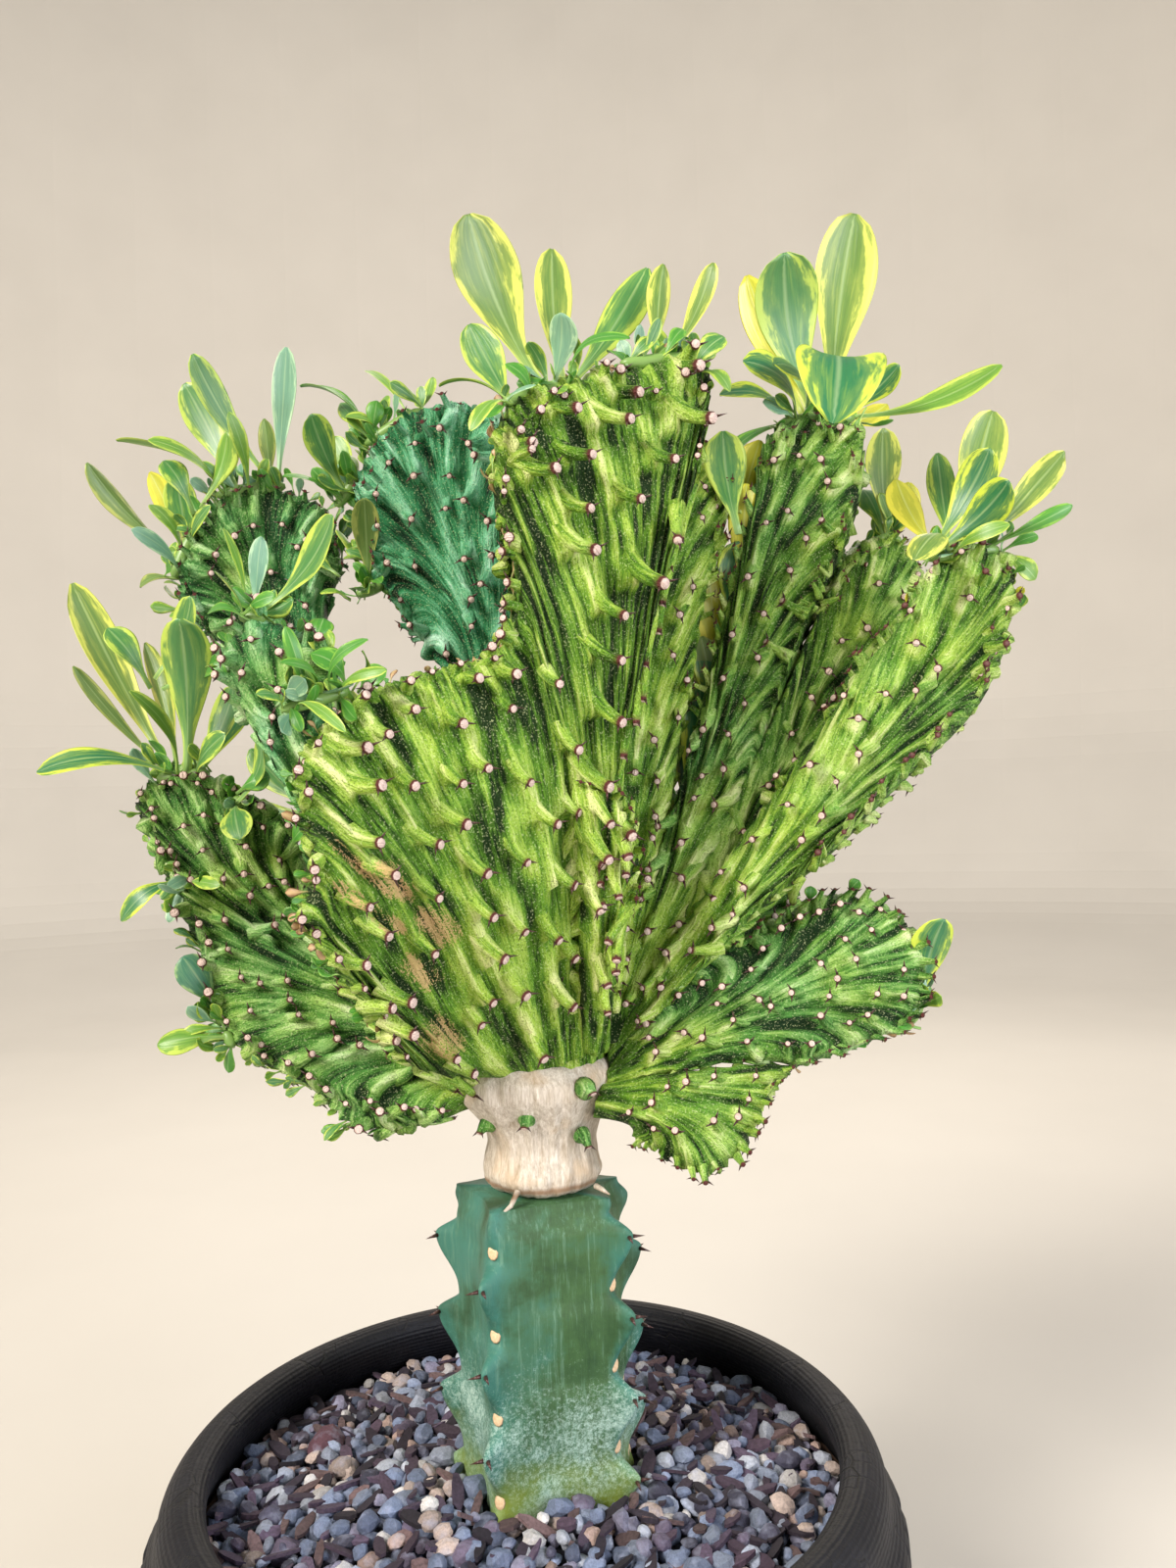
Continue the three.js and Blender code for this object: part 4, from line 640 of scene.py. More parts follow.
z = z + x * lean[:, :1] + y * lean[:, 1:]
east, north = np.cos(heading), np.sin(heading)
turned = np.stack([x * east - y * north, x * north + y * east, z], -1)
heights = mound_height(*places.T) + 2.2 + 1.6 * random_bark.random(len(places))
bark_points = turned + np.column_stack([places, heights])[:, None]
box_faces = outward(box, [np.vstack([grid_faces(4, 4, wrap=True), [[3, 2, 1, 0], [12, 13, 14, 15]]])])
bark_faces = [copies(box_faces[0], len(places), len(box))]

# Bark slivers: split along the grain, red-brown to purple-brown, dull.
bark, tree, place = new_material("split_bark", Roughness=0.9)
own = add_node(tree, "Attribute", attribute_name="piece_colour")
grain = add_node(tree, "TexNoise", {"Vector": place, "Scale": 700.0, "Detail": 4.0})
shade = add_node(tree, "MapRange", {0: grain, 1: 0.3, 2: 0.7, 3: 0.6, 4: 1.3})
colour = add_node(tree, "Mix", {0: 1.0, 6: own, 7: shade}, blend_type="MULTIPLY", **RGBA)
feed_shader(tree, Base_Color=colour)
bark_colours = palette_draw(random_bark, BARK_PALETTE, len(places), len(box))
slivers = put_mesh("gravel_bark_slivers", bark_points.reshape(-1, 3), bark_faces, bark, smooth=False,
                   attributes={"piece_colour": bark_colours})

# The scion's collar is the corky old base of the grafted plant: a bulging foot ring where it joins the
# stock, a waist, and a top that flares under the fans. Its skin is pale cork with upright fibres.
COLLAR_AXIS, COLLAR_SIDES = (11, -3), 200
COLLAR_PROFILE = [[2, 300], [19, 300], [24.5, 303], [26, 308], [25, 314], [23.5, 320], [25, 328], [29, 336],
                  [33, 343], [33.5, 350], [29, 357], [18, 361], [2, 362]]
collar_profile, _ = even_profile(COLLAR_PROFILE, 0.9, 3)
turn, height = turn_and_height(collar_profile, COLLAR_SIDES)
flare = smooth_step(height, 322, 346)
lumps = (flare * (2.0 * np.cos(2 * turn + 0.4) + 5.5 * np.exp(-(((turn - 3.9) / 0.7) ** 2)))
         + 0.6 * np.cos(5 * turn + height / 9)
         + 0.35 * np.cos(17 * turn + 2 * np.sin(height / 11)) + 0.25 * np.cos(31 * turn + height / 15))
wrinkles = 0.4 * np.cos(height / 1.9 + 1.5 * np.cos(3 * turn)) * (1 - smooth_step(height, 306, 318))
radius = collar_profile[:, :1] + (lumps + wrinkles) * smooth_step(collar_profile[:, :1], 4, 16)
collar_points, collar_faces = turned_shape(radius, turn, height, *COLLAR_AXIS)

# Old corky bark: cream to tan, split into fine upright fibres, with a brown line above the graft.
cork, tree, place = new_material("corky_stem_bark", Roughness=0.88)
_, _, up_m = add_node(tree, "SeparateXYZ", {0: place}).node.outputs
upright = add_node(tree, "VectorMath", {0: place, 1: (1.0, 1.0, 0.09)}, operation="MULTIPLY")
fibres = add_node(tree, "TexNoise", {"Vector": upright, "Scale": 620.0, "Detail": 6.0, "Roughness": 0.8})
fibres = add_node(tree, "MapRange", {0: fibres, 1: 0.28, 2: 0.62, 3: 0.0, 4: 1.0})
stains = add_node(tree, "TexNoise", {"Vector": place, "Scale": 70.0, "Detail": 4.0})
line = add_node(tree, "Math", {0: up_m, 1: 0.3042}, operation="SUBTRACT")
line = add_node(tree, "Math", {0: line}, operation="ABSOLUTE")
colour = add_node(tree, "Mix", {0: fibres, 6: linear("#a08b70"), 7: linear("#ece2d4")}, **RGBA)
colour = lay_tints(tree, colour, [
    (stains, 0.52, 0.75, 0.5, "#d3b288"), (line, 0.0022, 0.0004, 0.8, "#8a6440")])
bump = add_node(tree, "Bump", {"Height": fibres, "Strength": 0.7, "Distance": 0.0011})
feed_shader(tree, Base_Color=colour, Normal=bump)
collar = put_mesh("scion_cork_collar", collar_points, collar_faces, cork)
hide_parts("scion_collar")

# The crest is one growth of flattened fans, fused at the collar. The skin is drawn out from each tubercle
# into a ridge that flows up to the growing edge, and each tubercle ends in a cork scar between two spines.

# A fan has its ribs across and its rows up, half its thickness at root and rim, the two ends of its foot,
# and stations: each a point on its waist and one on its growing edge.
LOBES = [
    dict(name="front", ribs=12, tips=5, root=12, rim=6.5,
     foot=[[-5, -20, 352], [34, -20, 364]], stations=[
         [[-26, -42, 359], [-40, -60, 368]], [[-34, -58, 384], [-57, -86, 405]],
         [[-36, -68, 407], [-70, -98, 429]], [[-30, -76, 427], [-62, -102, 452]],
         [[-28, -80, 440], [-71, -100, 480]], [[-18, -76, 450], [-55, -82, 507]],
         [[-3, -70, 455], [-23, -70, 522]], [[11, -62, 459], [0, -60, 527]],
         [[21, -56, 472], [10, -56, 553]], [[28, -54, 480], [3, -64, 594]],
         [[33, -52, 485], [12, -58, 632]], [[37, -50, 488], [50, -47, 644]],
         [[41, -49, 486], [89, -42, 650]], [[46, -48, 474], [85, -50, 605]]]),
    dict(name="middle", ribs=4, tips=4, root=10, rim=5,
     foot=[[29, -26, 365], [42, -24, 365]], stations=[
         [[31, -50, 434], [29, -62, 481]], [[37, -50, 437], [42, -62, 475]],
         [[43, -46, 431], [52, -56, 463]], [[45, -42, 421], [55, -50, 443]],
         [[46, -38, 408], [52, -44, 421]]]),
    dict(name="centre", ribs=6, tips=5, root=11, rim=6,
     foot=[[33, -10, 361], [50, -6, 363]], stations=[
         [[36, 8, 456], [20, 30, 552]], [[44, 14, 476], [47, 40, 600]], [[54, 17, 487], [67, 44, 630]],
         [[62, 18, 486], [92, 44, 640]], [[68, 17, 476], [110, 40, 621]],
         [[72, 14, 460], [93, 34, 560]]]),
    dict(name="right_column", ribs=6, tips=5, root=11, rim=6,
     foot=[[37, -6, 357], [50, -4, 359]], stations=[
         [[64, 9, 426], [91, 24, 505]], [[77, 13, 456], [106, 34, 562]],
         [[87, 16, 474], [120, 38, 612]], [[95, 17, 485], [129, 38, 642]],
         [[100, 17, 488], [151, 36, 650]], [[103, 16, 484], [173, 34, 639]],
         [[102, 14, 470], [164, 28, 591]], [[101, 8, 456], [145, 20, 560]]]),
    dict(name="right_middle", ribs=4, tips=5, root=10, rim=6,
     foot=[[43, -4, 355], [52, -2, 355]], stations=[
         [[100, 6, 462], [148, 24, 556]], [[106, 10, 470], [167, 42, 587]],
         [[112, 12, 476], [191, 48, 592]], [[116, 12, 472], [202, 44, 563]],
         [[118, 10, 462], [184, 34, 536]], [[116, 6, 450], [161, 18, 516]],
         [[110, 3, 438], [158, 8, 497]]]),
    dict(name="right_outer", ribs=6, tips=5, root=11, rim=6,
     foot=[[44, -4, 363], [46, -12, 344]], stations=[
         [[96, -2, 436], [152, 4, 508]], [[102, -4, 442], [176, 2, 538]],
         [[108, -7, 446], [194, -6, 567]], [[113, -9, 446], [212, -12, 577]],
         [[118, -11, 440], [224, -16, 560]], [[115, -12, 429], [211, -16, 511]],
         [[107, -13, 415], [173, -16, 474]], [[90, -14, 401], [135, -16, 438]]]),
    dict(name="low_right_upper", ribs=6, tips=4, root=10, rim=6,
     foot=[[40, -14, 352], [40, -16, 343]], stations=[
         [[60, -12, 375], [72, -8, 393]], [[76, -10, 379], [97, 0, 401]],
         [[95, -8, 384], [120, 8, 412]], [[105, -8, 386], [144, 12, 422]],
         [[113, -8, 383], [169, 10, 416]], [[116, -10, 377], [183, 4, 399]],
         [[114, -14, 369], [180, -2, 372]], [[104, -20, 362], [153, -10, 358]],
         [[90, -24, 356], [120, -20, 352]]]),
    dict(name="low_right_lower", ribs=6, tips=3, root=10, rim=5.5,
     foot=[[39, -18, 347], [34, -24, 334]], stations=[
         [[87, -24, 353], [120, -22, 353]], [[79, -28, 349], [111, -28, 344]],
         [[76, -30, 344], [103, -32, 334]], [[70, -33, 338], [95, -36, 321]],
         [[65, -33, 333], [80, -38, 314]], [[56, -30, 331], [61, -32, 321]],
         [[48, -28, 332], [50, -28, 327]]]),
    dict(name="low_left", ribs=7, tips=4, root=11, rim=6,
     foot=[[-18, -16, 338], [-2, -8, 368]], stations=[
         [[-33, -24, 335], [-48, -26, 332]], [[-44, -24, 340], [-74, -26, 337]],
         [[-52, -22, 348], [-88, -24, 355]], [[-61, -20, 356], [-111, -20, 361]],
         [[-69, -16, 368], [-124, -16, 379]], [[-76, -12, 381], [-133, -10, 402]],
         [[-81, -6, 392], [-147, -4, 428]], [[-85, 0, 399], [-162, 4, 458]],
         [[-85, 4, 403], [-168, 8, 479]], [[-82, 8, 406], [-148, 12, 489]],
         [[-78, 10, 408], [-122, 16, 478]], [[-70, 10, 406], [-99, 15, 458]]]),
    dict(name="back_left", ribs=6, tips=5, root=10, rim=6,
     foot=[[2, 6, 351], [24, 10, 352]], stations=[
         [[-10, 16, 470], [-37, 30, 548]], [[-7, 18, 485], [-56, 34, 571]],
         [[-4, 20, 498], [-67, 36, 599]], [[0, 21, 507], [-70, 37, 626]],
         [[5, 21, 512], [-54, 36, 650]], [[9, 20, 512], [-31, 34, 660]],
         [[13, 18, 508], [-5, 30, 656]], [[18, 16, 494], [13, 24, 625]]]),
    dict(name="far_left", ribs=5, tips=5, root=10, rim=6,
     foot=[[-9, 4, 351], [-12, 0, 345]], stations=[
         [[-79, 34, 508], [-80, 48, 584]], [[-82, 36, 510], [-88, 52, 615]],
         [[-87, 36, 510], [-110, 50, 626]], [[-90, 34, 508], [-135, 46, 624]],
         [[-93, 32, 504], [-151, 40, 597]], [[-96, 30, 500], [-157, 36, 572]],
         [[-97, 28, 494], [-142, 30, 555]]]),
    dict(name="left_neck", ribs=4, tips=3, root=9, rim=5,
     foot=[[-60, -84, 449], [-49, -82, 467]], stations=[
         [[-79, -84, 482], [-94, -74, 504]], [[-81, -82, 491], [-102, -66, 522]],
         [[-81, -80, 498], [-103, -60, 538]], [[-77, -78, 503], [-91, -58, 545]],
         [[-71, -80, 502], [-77, -58, 536]], [[-61, -84, 496], [-60, -66, 521]]]),
    dict(name="back_high", ribs=5, tips=4, root=11, rim=6,
     foot=[[8, 16, 356], [34, 16, 358]], stations=[
         [[8, 52, 450], [-30, 84, 520]], [[18, 60, 468], [-22, 104, 574]],
         [[32, 64, 478], [14, 116, 600]], [[48, 64, 476], [58, 112, 592]],
         [[60, 58, 462], [92, 96, 556]], [[60, 50, 440], [88, 82, 500]]]),
    dict(name="back_low_left", ribs=5, tips=4, root=11, rim=6,
     foot=[[-10, 4, 338], [4, 18, 354]], stations=[
         [[-50, 34, 350], [-84, 48, 352]], [[-62, 44, 376], [-118, 72, 398]],
         [[-56, 56, 402], [-116, 96, 452]], [[-40, 62, 416], [-82, 112, 486]],
         [[-20, 60, 414], [-36, 108, 470]]]),
    dict(name="back_low_right", ribs=5, tips=4, root=11, rim=6,
     foot=[[22, 18, 354], [38, 4, 338]], stations=[
         [[46, 56, 408], [50, 100, 456]], [[66, 60, 410], [96, 108, 474]],
         [[82, 52, 396], [136, 94, 440]], [[84, 40, 372], [140, 72, 388]],
         [[70, 30, 348], [106, 48, 344]]]),
]

# Each fan's own look: its share of blue-green, how deep its green is, how far its ridges lean out at its
# sides (a tangent), then at its left and right side how long its tubercles are and how wide apart they stand.
FAN_LOOKS = {
    "front": (0.12, 0.25, -0.4, (0.75, 1.5), (1.0, 1.32)),
    "middle": (0.0, 0.1, 0.4, (0.8, 0.9), (0.88, 0.88)),
    "centre": (0.15, 0.1, 1.1, (0.6, 0.6), (1.0, 1.0)),
    "right_column": (0.4, 0.4, 1.2, (0.6, 0.6), (1.0, 1.0)),
    "right_middle": (0.35, 0.2, 1.2, (0.6, 0.6), (1.05, 1.05)),
    "right_outer": (0.25, 0.15, 0.8, (0.6, 0.6), (1.0, 1.0)),
    "low_right_upper": (0.45, 0.6, 0.5, (0.5, 0.5), (0.78, 0.78)),
    "low_right_lower": (0.25, 0.4, 0.3, (0.5, 0.5), (0.7, 0.7)),
    "low_left": (0.45, 0.3, 0.5, (0.6, 0.6), (0.75, 0.75)),
    "back_left": (0.95, 0.1, 0.6, (0.85, 0.85), (1.0, 1.0)),
    "far_left": (0.6, 0.6, 0.7, (0.8, 0.8), (0.9, 0.9)),
    "left_neck": (0.6, 0.2, 0.5, (0.9, 0.9), (0.85, 0.85)),
    "back_high": (0.5, 0.5, 0.7, (0.8, 0.8), (1.0, 1.0)),
    "back_low_left": (0.5, 0.5, 0.5, (0.8, 0.8), (0.95, 0.95)),
    "back_low_right": (0.4, 0.5, 0.5, (0.8, 0.8), (0.95, 0.95)),
}
# Where across a fan its ridges part to left and right if that isn't the middle, the fans with broad low
# ridges, those that curl at their tubercles, how big the teeth on sides and rim are, and sides without any.
FAN_AXES = {"front": 0.45}
SOFT_FANS = ["centre", "right_column", "right_middle", "right_outer", "low_right_upper", "low_right_lower"]
CURLED_FANS = ["front", "middle"]
BIG_EDGES = {"front": 1.25, "middle": 1.35}
BIG_RIMS = {"front": 1.0, "left_neck": 1.0, "low_left": 1.0, "right_outer": 0.4}
BARE_SIDES = [("right_column", True), ("right_middle", True), ("right_middle", False)]
CREST_PIECES = {
    "crest_front_fans": ["front", "left_neck"], "crest_inner_fans": ["middle", "centre"],
    "crest_column_fan": ["right_column"], "crest_left_back_fan": ["back_left", "far_left"],
    "crest_right_fans": ["right_middle", "right_outer"],
    "crest_low_right_fans": ["low_right_upper", "low_right_lower"], "crest_low_left_fan": ["low_left"],
    "crest_back_high_fan": ["back_high"], "crest_back_low_fans": ["back_low_left", "back_low_right"],
}
COLUMN_STEP, ROW_STEP = 1.8, 1.8
TIP_APART, TIP_BEHIND, RIDGE_LENGTH, RIDGE_HEIGHT = 10.5, 19.0, 44.0, 6.4
SIDE_TOOTH, FOLD_PITCH, FOLD_OCTAVES = 13.0, 13.0, 7
SPREAD_MOST, TIPS_TRIED, EASING_ROUNDS = 3.8, 2600, 300
# A peg's rings: how far along it, how far from its root's radius to its tip's, a pinch, and the scar's level.
PEG_RINGS = ((0.0, 0.0, 1.0, 0.0), (0.3, 0.3, 1.0, 0.0), (0.55, 0.62, 1.0, 0.0), (0.78, 0.88, 1.0, 0.0),
             (0.95, 1.0, 1.0, 0.2), (1.0, 1.0, 0.98, 0.45), (1.03, 1.0, 0.7, 0.95))
PEG_SUNK = 1.5


def fan_grid(lobe):
    """The fan's middle surface as a coarse grid: foot, waist and crest lines joined by a parabola, and where
    ribs would cross, points eased to the mean of their neighbours."""
    waist = np.array([s[0] for s in lobe["stations"]], float)
    crest = np.array([s[1] for s in lobe["stations"]], float)
    marks = travel(crest)
    marks /= marks[-1]
    columns, rows = 2 * lobe["ribs"], 2 * lobe["tips"]
    u = np.arange(columns + 1) / columns
    v = np.concatenate([[0], mix(0.2, 0.96, np.arange(rows - 1) / (rows - 2)), [1]])
    start, end = np.array(lobe["foot"], float)
    foot_line = mix(start, end, u[:, None])[:, None]
    waist_line = along_curve(waist, marks, u)[:, None]
    crest_line = along_curve(crest, marks, u)[:, None]
    w = v[None, :, None]
    grid = foot_line * (1 - w) * (1 - 2 * w) + waist_line * 4 * w * (1 - w) + crest_line * w * (2 * w - 1)

    def cells():
        """The four corners of every cell of the grid."""
        return grid[:-1, :-1], grid[1:, :-1], grid[1:, 1:], grid[:-1, 1:]

    a, b, c, d = cells()
    facing = np.cross(c - a, d - b)[:, 1:].sum((0, 1))
    facing /= np.linalg.norm(facing)
    for _ in range(EASING_ROUNDS):
        a, b, c, d = cells()
        turns = ((a, b, d), (b, c, a), (c, d, b), (d, a, c))
        corners = [np.cross(q - p, r - p) @ facing for p, q, r in turns]
        limit = 0.1 * np.linalg.norm(c - a, axis=-1) * np.linalg.norm(d - b, axis=-1)
        folded = np.min(corners, axis=0) < limit
        near = folded[1:, 1:] | folded[:-1, 1:] | folded[1:, :-1] | folded[:-1, :-1]
        if not near.any():
            break
        mean = (grid[:-2, 1:-1] + grid[2:, 1:-1] + grid[1:-1, :-2] + grid[1:-1, 2:]) / 4
        grid[1:-1, 1:-1] += np.where(near[..., None], 0.5 * (mean - grid[1:-1, 1:-1]), 0)
    return grid, u, v, facing


def read_grid(field, row, column):
    """A grid's values between its points, mixed from the four corners round each place."""
    r = np.clip(row, 0, field.shape[0] - 1.001)
    c = np.clip(column, 0, field.shape[1] - 1.001)
    i, j = r.astype(int), c.astype(int)
    s, t = r - i, c - j
    if field.ndim == 3:
        s, t = s[:, None], t[:, None]
    return mix(mix(field[i, j], field[i, j + 1], t), mix(field[i + 1, j], field[i + 1, j + 1], t), s)


def pegs(base, out, back, across, length, root_radius, tip_radius, sides=8):
    """Bent pegs: rings on a path that leaves along out and curls towards back, tapering to a rounded scar.
    Also gives each point's place on the skin, aside of the peg's middle and back along it, in millimetres."""
    rings, levels, bulges, places = [], [], [], []
    ring, count = np.arange(sides), len(PEG_RINGS)
    cosines = np.cos(np.linspace(0, 2 * np.pi, sides, endpoint=False))
    for t, share, pinch, level in PEG_RINGS:
        bent = (out * (t * (1 - 0.14 * t)) + back * (0.46 * t * t)) * length[:, None]
        centre = base + bent - out * PEG_SUNK * (1 - t)
        ahead = unit(out * (1 - 0.35 * t) + back * 0.85 * t)
        side = unit(across - ahead * np.sum(across * ahead, -1, keepdims=True))
        r = mix(root_radius, tip_radius, share) * pinch
        rings.append(rings_round(centre, side, np.cross(ahead, side), r, sides))
        levels += [level] * sides
        bulges += [1.0 - 0.45 * t] * sides
        places.append(np.stack([r[:, None] * cosines, -t * length[:, None] * np.ones(sides)], -1))
    points = np.concatenate([*rings, centre[:, None], base[:, None] - out[:, None] * PEG_SUNK], axis=1)
    places = np.concatenate([*places, places[-1][:, :1] * [0, 1], places[0][:, :1] * [0, 1]], axis=1)
    caps = [ring_cap(ring + (count - 1) * sides, count * sides), ring_cap(ring[::-1], count * sides + 1)]
    shape = [grid_faces(count, sides, wrap=True), np.vstack(caps)]
    faces = [copies(part, *points.shape[:2]) for part in outward(points[0], shape)]
    level, bulge = (np.tile(values, len(base)) for values in (levels + [1.0, 0.0], bulges + [0.6, 1.0]))
    return {"shape": (points.reshape(-1, 3), faces), "size": points.shape[1], "tip": centre, "ahead": ahead,
            "level": level, "bulge": bulge, "places": places.reshape(-1, 2)}


def tubercle_places(draw, middle, across, along, weight, close):
    """Evenly strewn places, drawn one after another: each must lie outside an oval round all those before it,
    about ten millimetres across the flow and nineteen along it. Returns row and column numbers."""
    rows, columns = weight.shape
    cells = draw.choice(rows * columns, TIPS_TRIED, p=(weight / weight.sum()).ravel())
    row, column = cells // columns, cells % columns
    spot, side, ahead = middle[row, column], across[row, column], along[row, column]
    kept = []
    for k in range(len(cells)):
        gap = spot[kept] - spot[k]
        far = ((gap @ side[k]) / TIP_APART) ** 2 + ((gap @ ahead[k]) / TIP_BEHIND) ** 2
        if not kept or far.min() > close[row[k], column[k]] ** 2:
            kept.append(k)
    return row[kept].astype(float), column[kept].astype(float)


def rounded(gap, width):
    """A quarter circle that rises from 0 at an edge to 1 at a width from it."""
    return np.sqrt(1 - (1 - np.clip(gap / width, 0, 1)) ** 2)


def fan_surface(lobe, seed):
    """A fan's two faces as height fields on its middle surface. Each tubercle raises a ridge: steep towards
    the foot, and falling away outwards along a flow line that spreads from the fan's axis as exp(v). The
    ridges are joined as the cube root of the sum of their cubes, over broad rounded folds."""
    draw = np.random.default_rng(seed)
    name = lobe["name"]
    blue, deep, side_lean, reaches, closeness = FAN_LOOKS[name]
    axis_u = FAN_AXES.get(name, 0.5)
    soft, curled, front = name in SOFT_FANS, name in CURLED_FANS, name == "front"
    fold_height = 1.6 if closeness[0] < 0.8 else 1.2
    coarse, u_marks, v_marks, facing = fan_grid(lobe)
    crest_width = np.linalg.norm(np.diff(coarse[:, -2], axis=0), axis=1).sum()
    length = np.linalg.norm(np.diff(coarse, axis=1), axis=2).sum(1).mean()
    columns, rows = int(crest_width / COLUMN_STEP) + 1, int(length / ROW_STEP) + 1
    u, v = np.linspace(0, 1, columns), np.linspace(0, 1, rows) ** 0.9
    middle = along_curve(along_curve(coarse, u_marks, u).transpose(1, 0, 2), v_marks, v)
    step_u, step_v = np.gradient(middle, axis=1), np.gradient(middle, axis=0)
    across, along = unit(step_u), unit(step_v)
    stand = unit(0.6 * unit(np.cross(across, along)) + 0.4 * facing)
    aside, travelled = travel(middle, axis=1), travel(middle)
    total, widths = travelled[-1], aside[:, -1]
    share_out = travelled / total
    mean_out = share_out.mean(1)
    edge_gap = np.minimum(aside, widths[:, None] - aside)
    from_rim = (1 - share_out) * total
    spread = min(2 * side_lean * length / widths.mean(), SPREAD_MOST)
    lean = (spread * (u[None] - axis_u) * widths[:, None] / length)[..., None]
    flow_way = unit(along + across * lean)
    flow_side = unit(across - along * lean)
    broad = 1 + 0.35 * soft + front * mix(0.1, 0.65, smooth_step(u, 0.5, 0.8))
    reach = mix(*reaches, smooth_step(u, 0.5, 0.8))[None] * np.ones((rows, 1))
    close = mix(*closeness, smooth_step(u, 0.5, 0.8))[None] * np.ones((rows, 1))

    def ridge(tip_rows, tip_columns, sizes):
        """The cubes of the ridges of some tubercles, summed over the grid."""
        summed = np.zeros((rows, columns))
        for row0, column0, size in zip(tip_rows, tip_columns, sizes):
            v0 = mean_out[int(row0)]
            low = np.searchsorted(mean_out, v0 - 6 / length)
            high = np.searchsorted(mean_out, v0 + RIDGE_LENGTH * size / length)
            if high - low < 2:
                continue
            line = axis_u + (u[int(column0)] - axis_u) * np.exp(spread * (mean_out[low:high] - v0))
            at = np.clip(line, 0, 1) * (columns - 1)
            k = np.minimum(at.astype(int), columns - 2)
            n = np.arange(low, high)
            middle_of_line = mix(aside[n, k], aside[n, k + 1], at - k)[:, None]
            off = np.abs(aside[low:high] - middle_of_line)
            ahead = travelled[low:high] - travelled[int(row0), int(column0)]
            tail = np.clip(1 - ahead / (RIDGE_LENGTH * size), 0, 1) ** 1.15 * smooth_step(ahead, -3.4, 0.4)
            half_width = (3.2 * size + 1.6 * smooth_step(ahead, 4, 26)) * broad[int(column0)]
            summed[low:high] += (min(size, 1.1) * tail * np.exp(-((off / half_width) ** 2))) ** 3
        return summed

    spreading = np.exp(-spread * (mean_out[:, None] - 1))
    label = (u[None] - axis_u) * spreading
    octave = np.log2(np.maximum(crest_width * spreading / widths[:, None], 1)) * np.ones((1, columns))
    waver = 0.2 * np.sin(travelled / 23 + seed) + 0.2 * np.sin(travelled / 11 + 9 * u[None])
    fold = np.zeros((rows, columns))
    for k in range(FOLD_OCTAVES):
        share = np.clip(1 - np.abs(octave - k), 0, 1)
        fold += share * np.cos(2 * np.pi * (label * crest_width / FOLD_PITCH / 2**k + waver + 0.3 * k))
    closing = rounded(edge_gap, 9) * rounded(from_rim, 8)
    thick = mix(lobe["root"], lobe["rim"], np.interp(v, v_marks, np.linspace(0, 1, len(v_marks))))[:, None]
    comb = 1.6 * np.cos(2 * np.pi * aside / 6.5) * smooth_step(share_out, 0.95, 1)
    tooth_place = (travelled / SIDE_TOOTH - 0.3) % 1
    side_push = 3.4 * (1 - tooth_place) ** 1.3 * smooth_step(travelled, 6, 18) * np.exp(-edge_gap / 5)
    side_push = side_push * np.where(u[None] < 0.5, -1, 1) * smooth_step(from_rim, 2, 12)
    cell = np.linalg.norm(np.cross(step_u, step_v), axis=2)
    weight = cell * (edge_gap > 5) * (from_rim > 7) * (travelled > 16)
    surfaces, bulges, on_faces, parts, tips = {}, [], [], [], []
    for side in (1, -1):
        row, col = tubercle_places(draw, middle, flow_side, flow_way, weight, close)
        size = (0.8 + 0.35 * draw.random(len(row))) * (0.72 + 0.28 * close[row.astype(int), col.astype(int)])
        raised = np.cbrt(ridge(row, col, size))
        lift = (RIDGE_HEIGHT * (1 - 0.25 * soft) * reach**0.35 * raised
                + fold_height * (fold - 0.3) * (1 - 0.6 * np.minimum(raised, 1)))
        swollen = side * closing[..., None] * (facing * thick[..., None] + stand * lift[..., None])
        surfaces[side] = middle + swollen + along * comb[..., None] + across * side_push[..., None]
        bulges.append(raised)
        row_up = np.minimum(row + 7.0 * size / ROW_STEP, rows - 1.0)
        rise = np.interp(row_up, np.arange(rows), mean_out) - mean_out[row.astype(int)]
        u_up = axis_u + (col / (columns - 1) - axis_u) * np.exp(spread * rise)
        col_up = np.clip(u_up, 0, 1) * (columns - 1)
        on_faces.append((side, row_up, col_up, size))
    for side, row, col, size in on_faces:
        base = read_grid(surfaces[side], row, col)
        out, a, b = (unit(read_grid(field, row, col)) for field in (stand, flow_side, flow_way))
        own_reach = read_grid(reach, row, col)
        lean_out = 0.48 + 0.35 * np.clip(1 - own_reach, 0, 1)[:, None]
        ahead = unit(unit(side * out * lean_out - b * 0.87) + draw.normal(size=out.shape) * 0.1)
        peg = pegs(base - side * out * (4.3 * size)[:, None], ahead, unit(side * out + a * 0.5 * curled), a,
                   (6.0 + 9.5 * own_reach) * size, 3.9 * size, (2.2 if curled else 1.65) * size)
        parts.append((peg, row, col))
        tips.append((peg["tip"], peg["ahead"], -b, a, size))
    for column0 in (0, columns - 1):
        marks = (np.arange(1, int(total[column0] / SIDE_TOOTH)) + 0.3) * SIDE_TOOTH
        row = np.interp(marks, travelled[:, column0], np.arange(rows))
        row = row[row < rows - 4]
        if (name, column0 > 0) in BARE_SIDES or not len(row):
            continue
        col = np.full(len(row), float(column0))
        size = np.full(len(row), BIG_EDGES.get(name, 0.6))
        base, b = read_grid(surfaces[1], row, col), unit(read_grid(flow_way, row, col))
        off_side = read_grid(across, row, col) * (1 if column0 else -1)
        a = np.broadcast_to(facing, b.shape)
        ahead = unit(unit(off_side - 0.35 * b) + draw.normal(size=b.shape) * 0.1)
        peg = pegs(base - off_side * 2 + b * 1.5, ahead, -b, a, 13.6 * size, 3.4 * size, 1.3 * size)
        parts.append((peg, row, col))
        tips.append((peg["tip"], peg["ahead"], -b, a, size))
    big = BIG_RIMS.get(name, 0.0)
    rim_count = int(crest_width / (6.0 + 4.0 * big))
    for side in (1, -1):
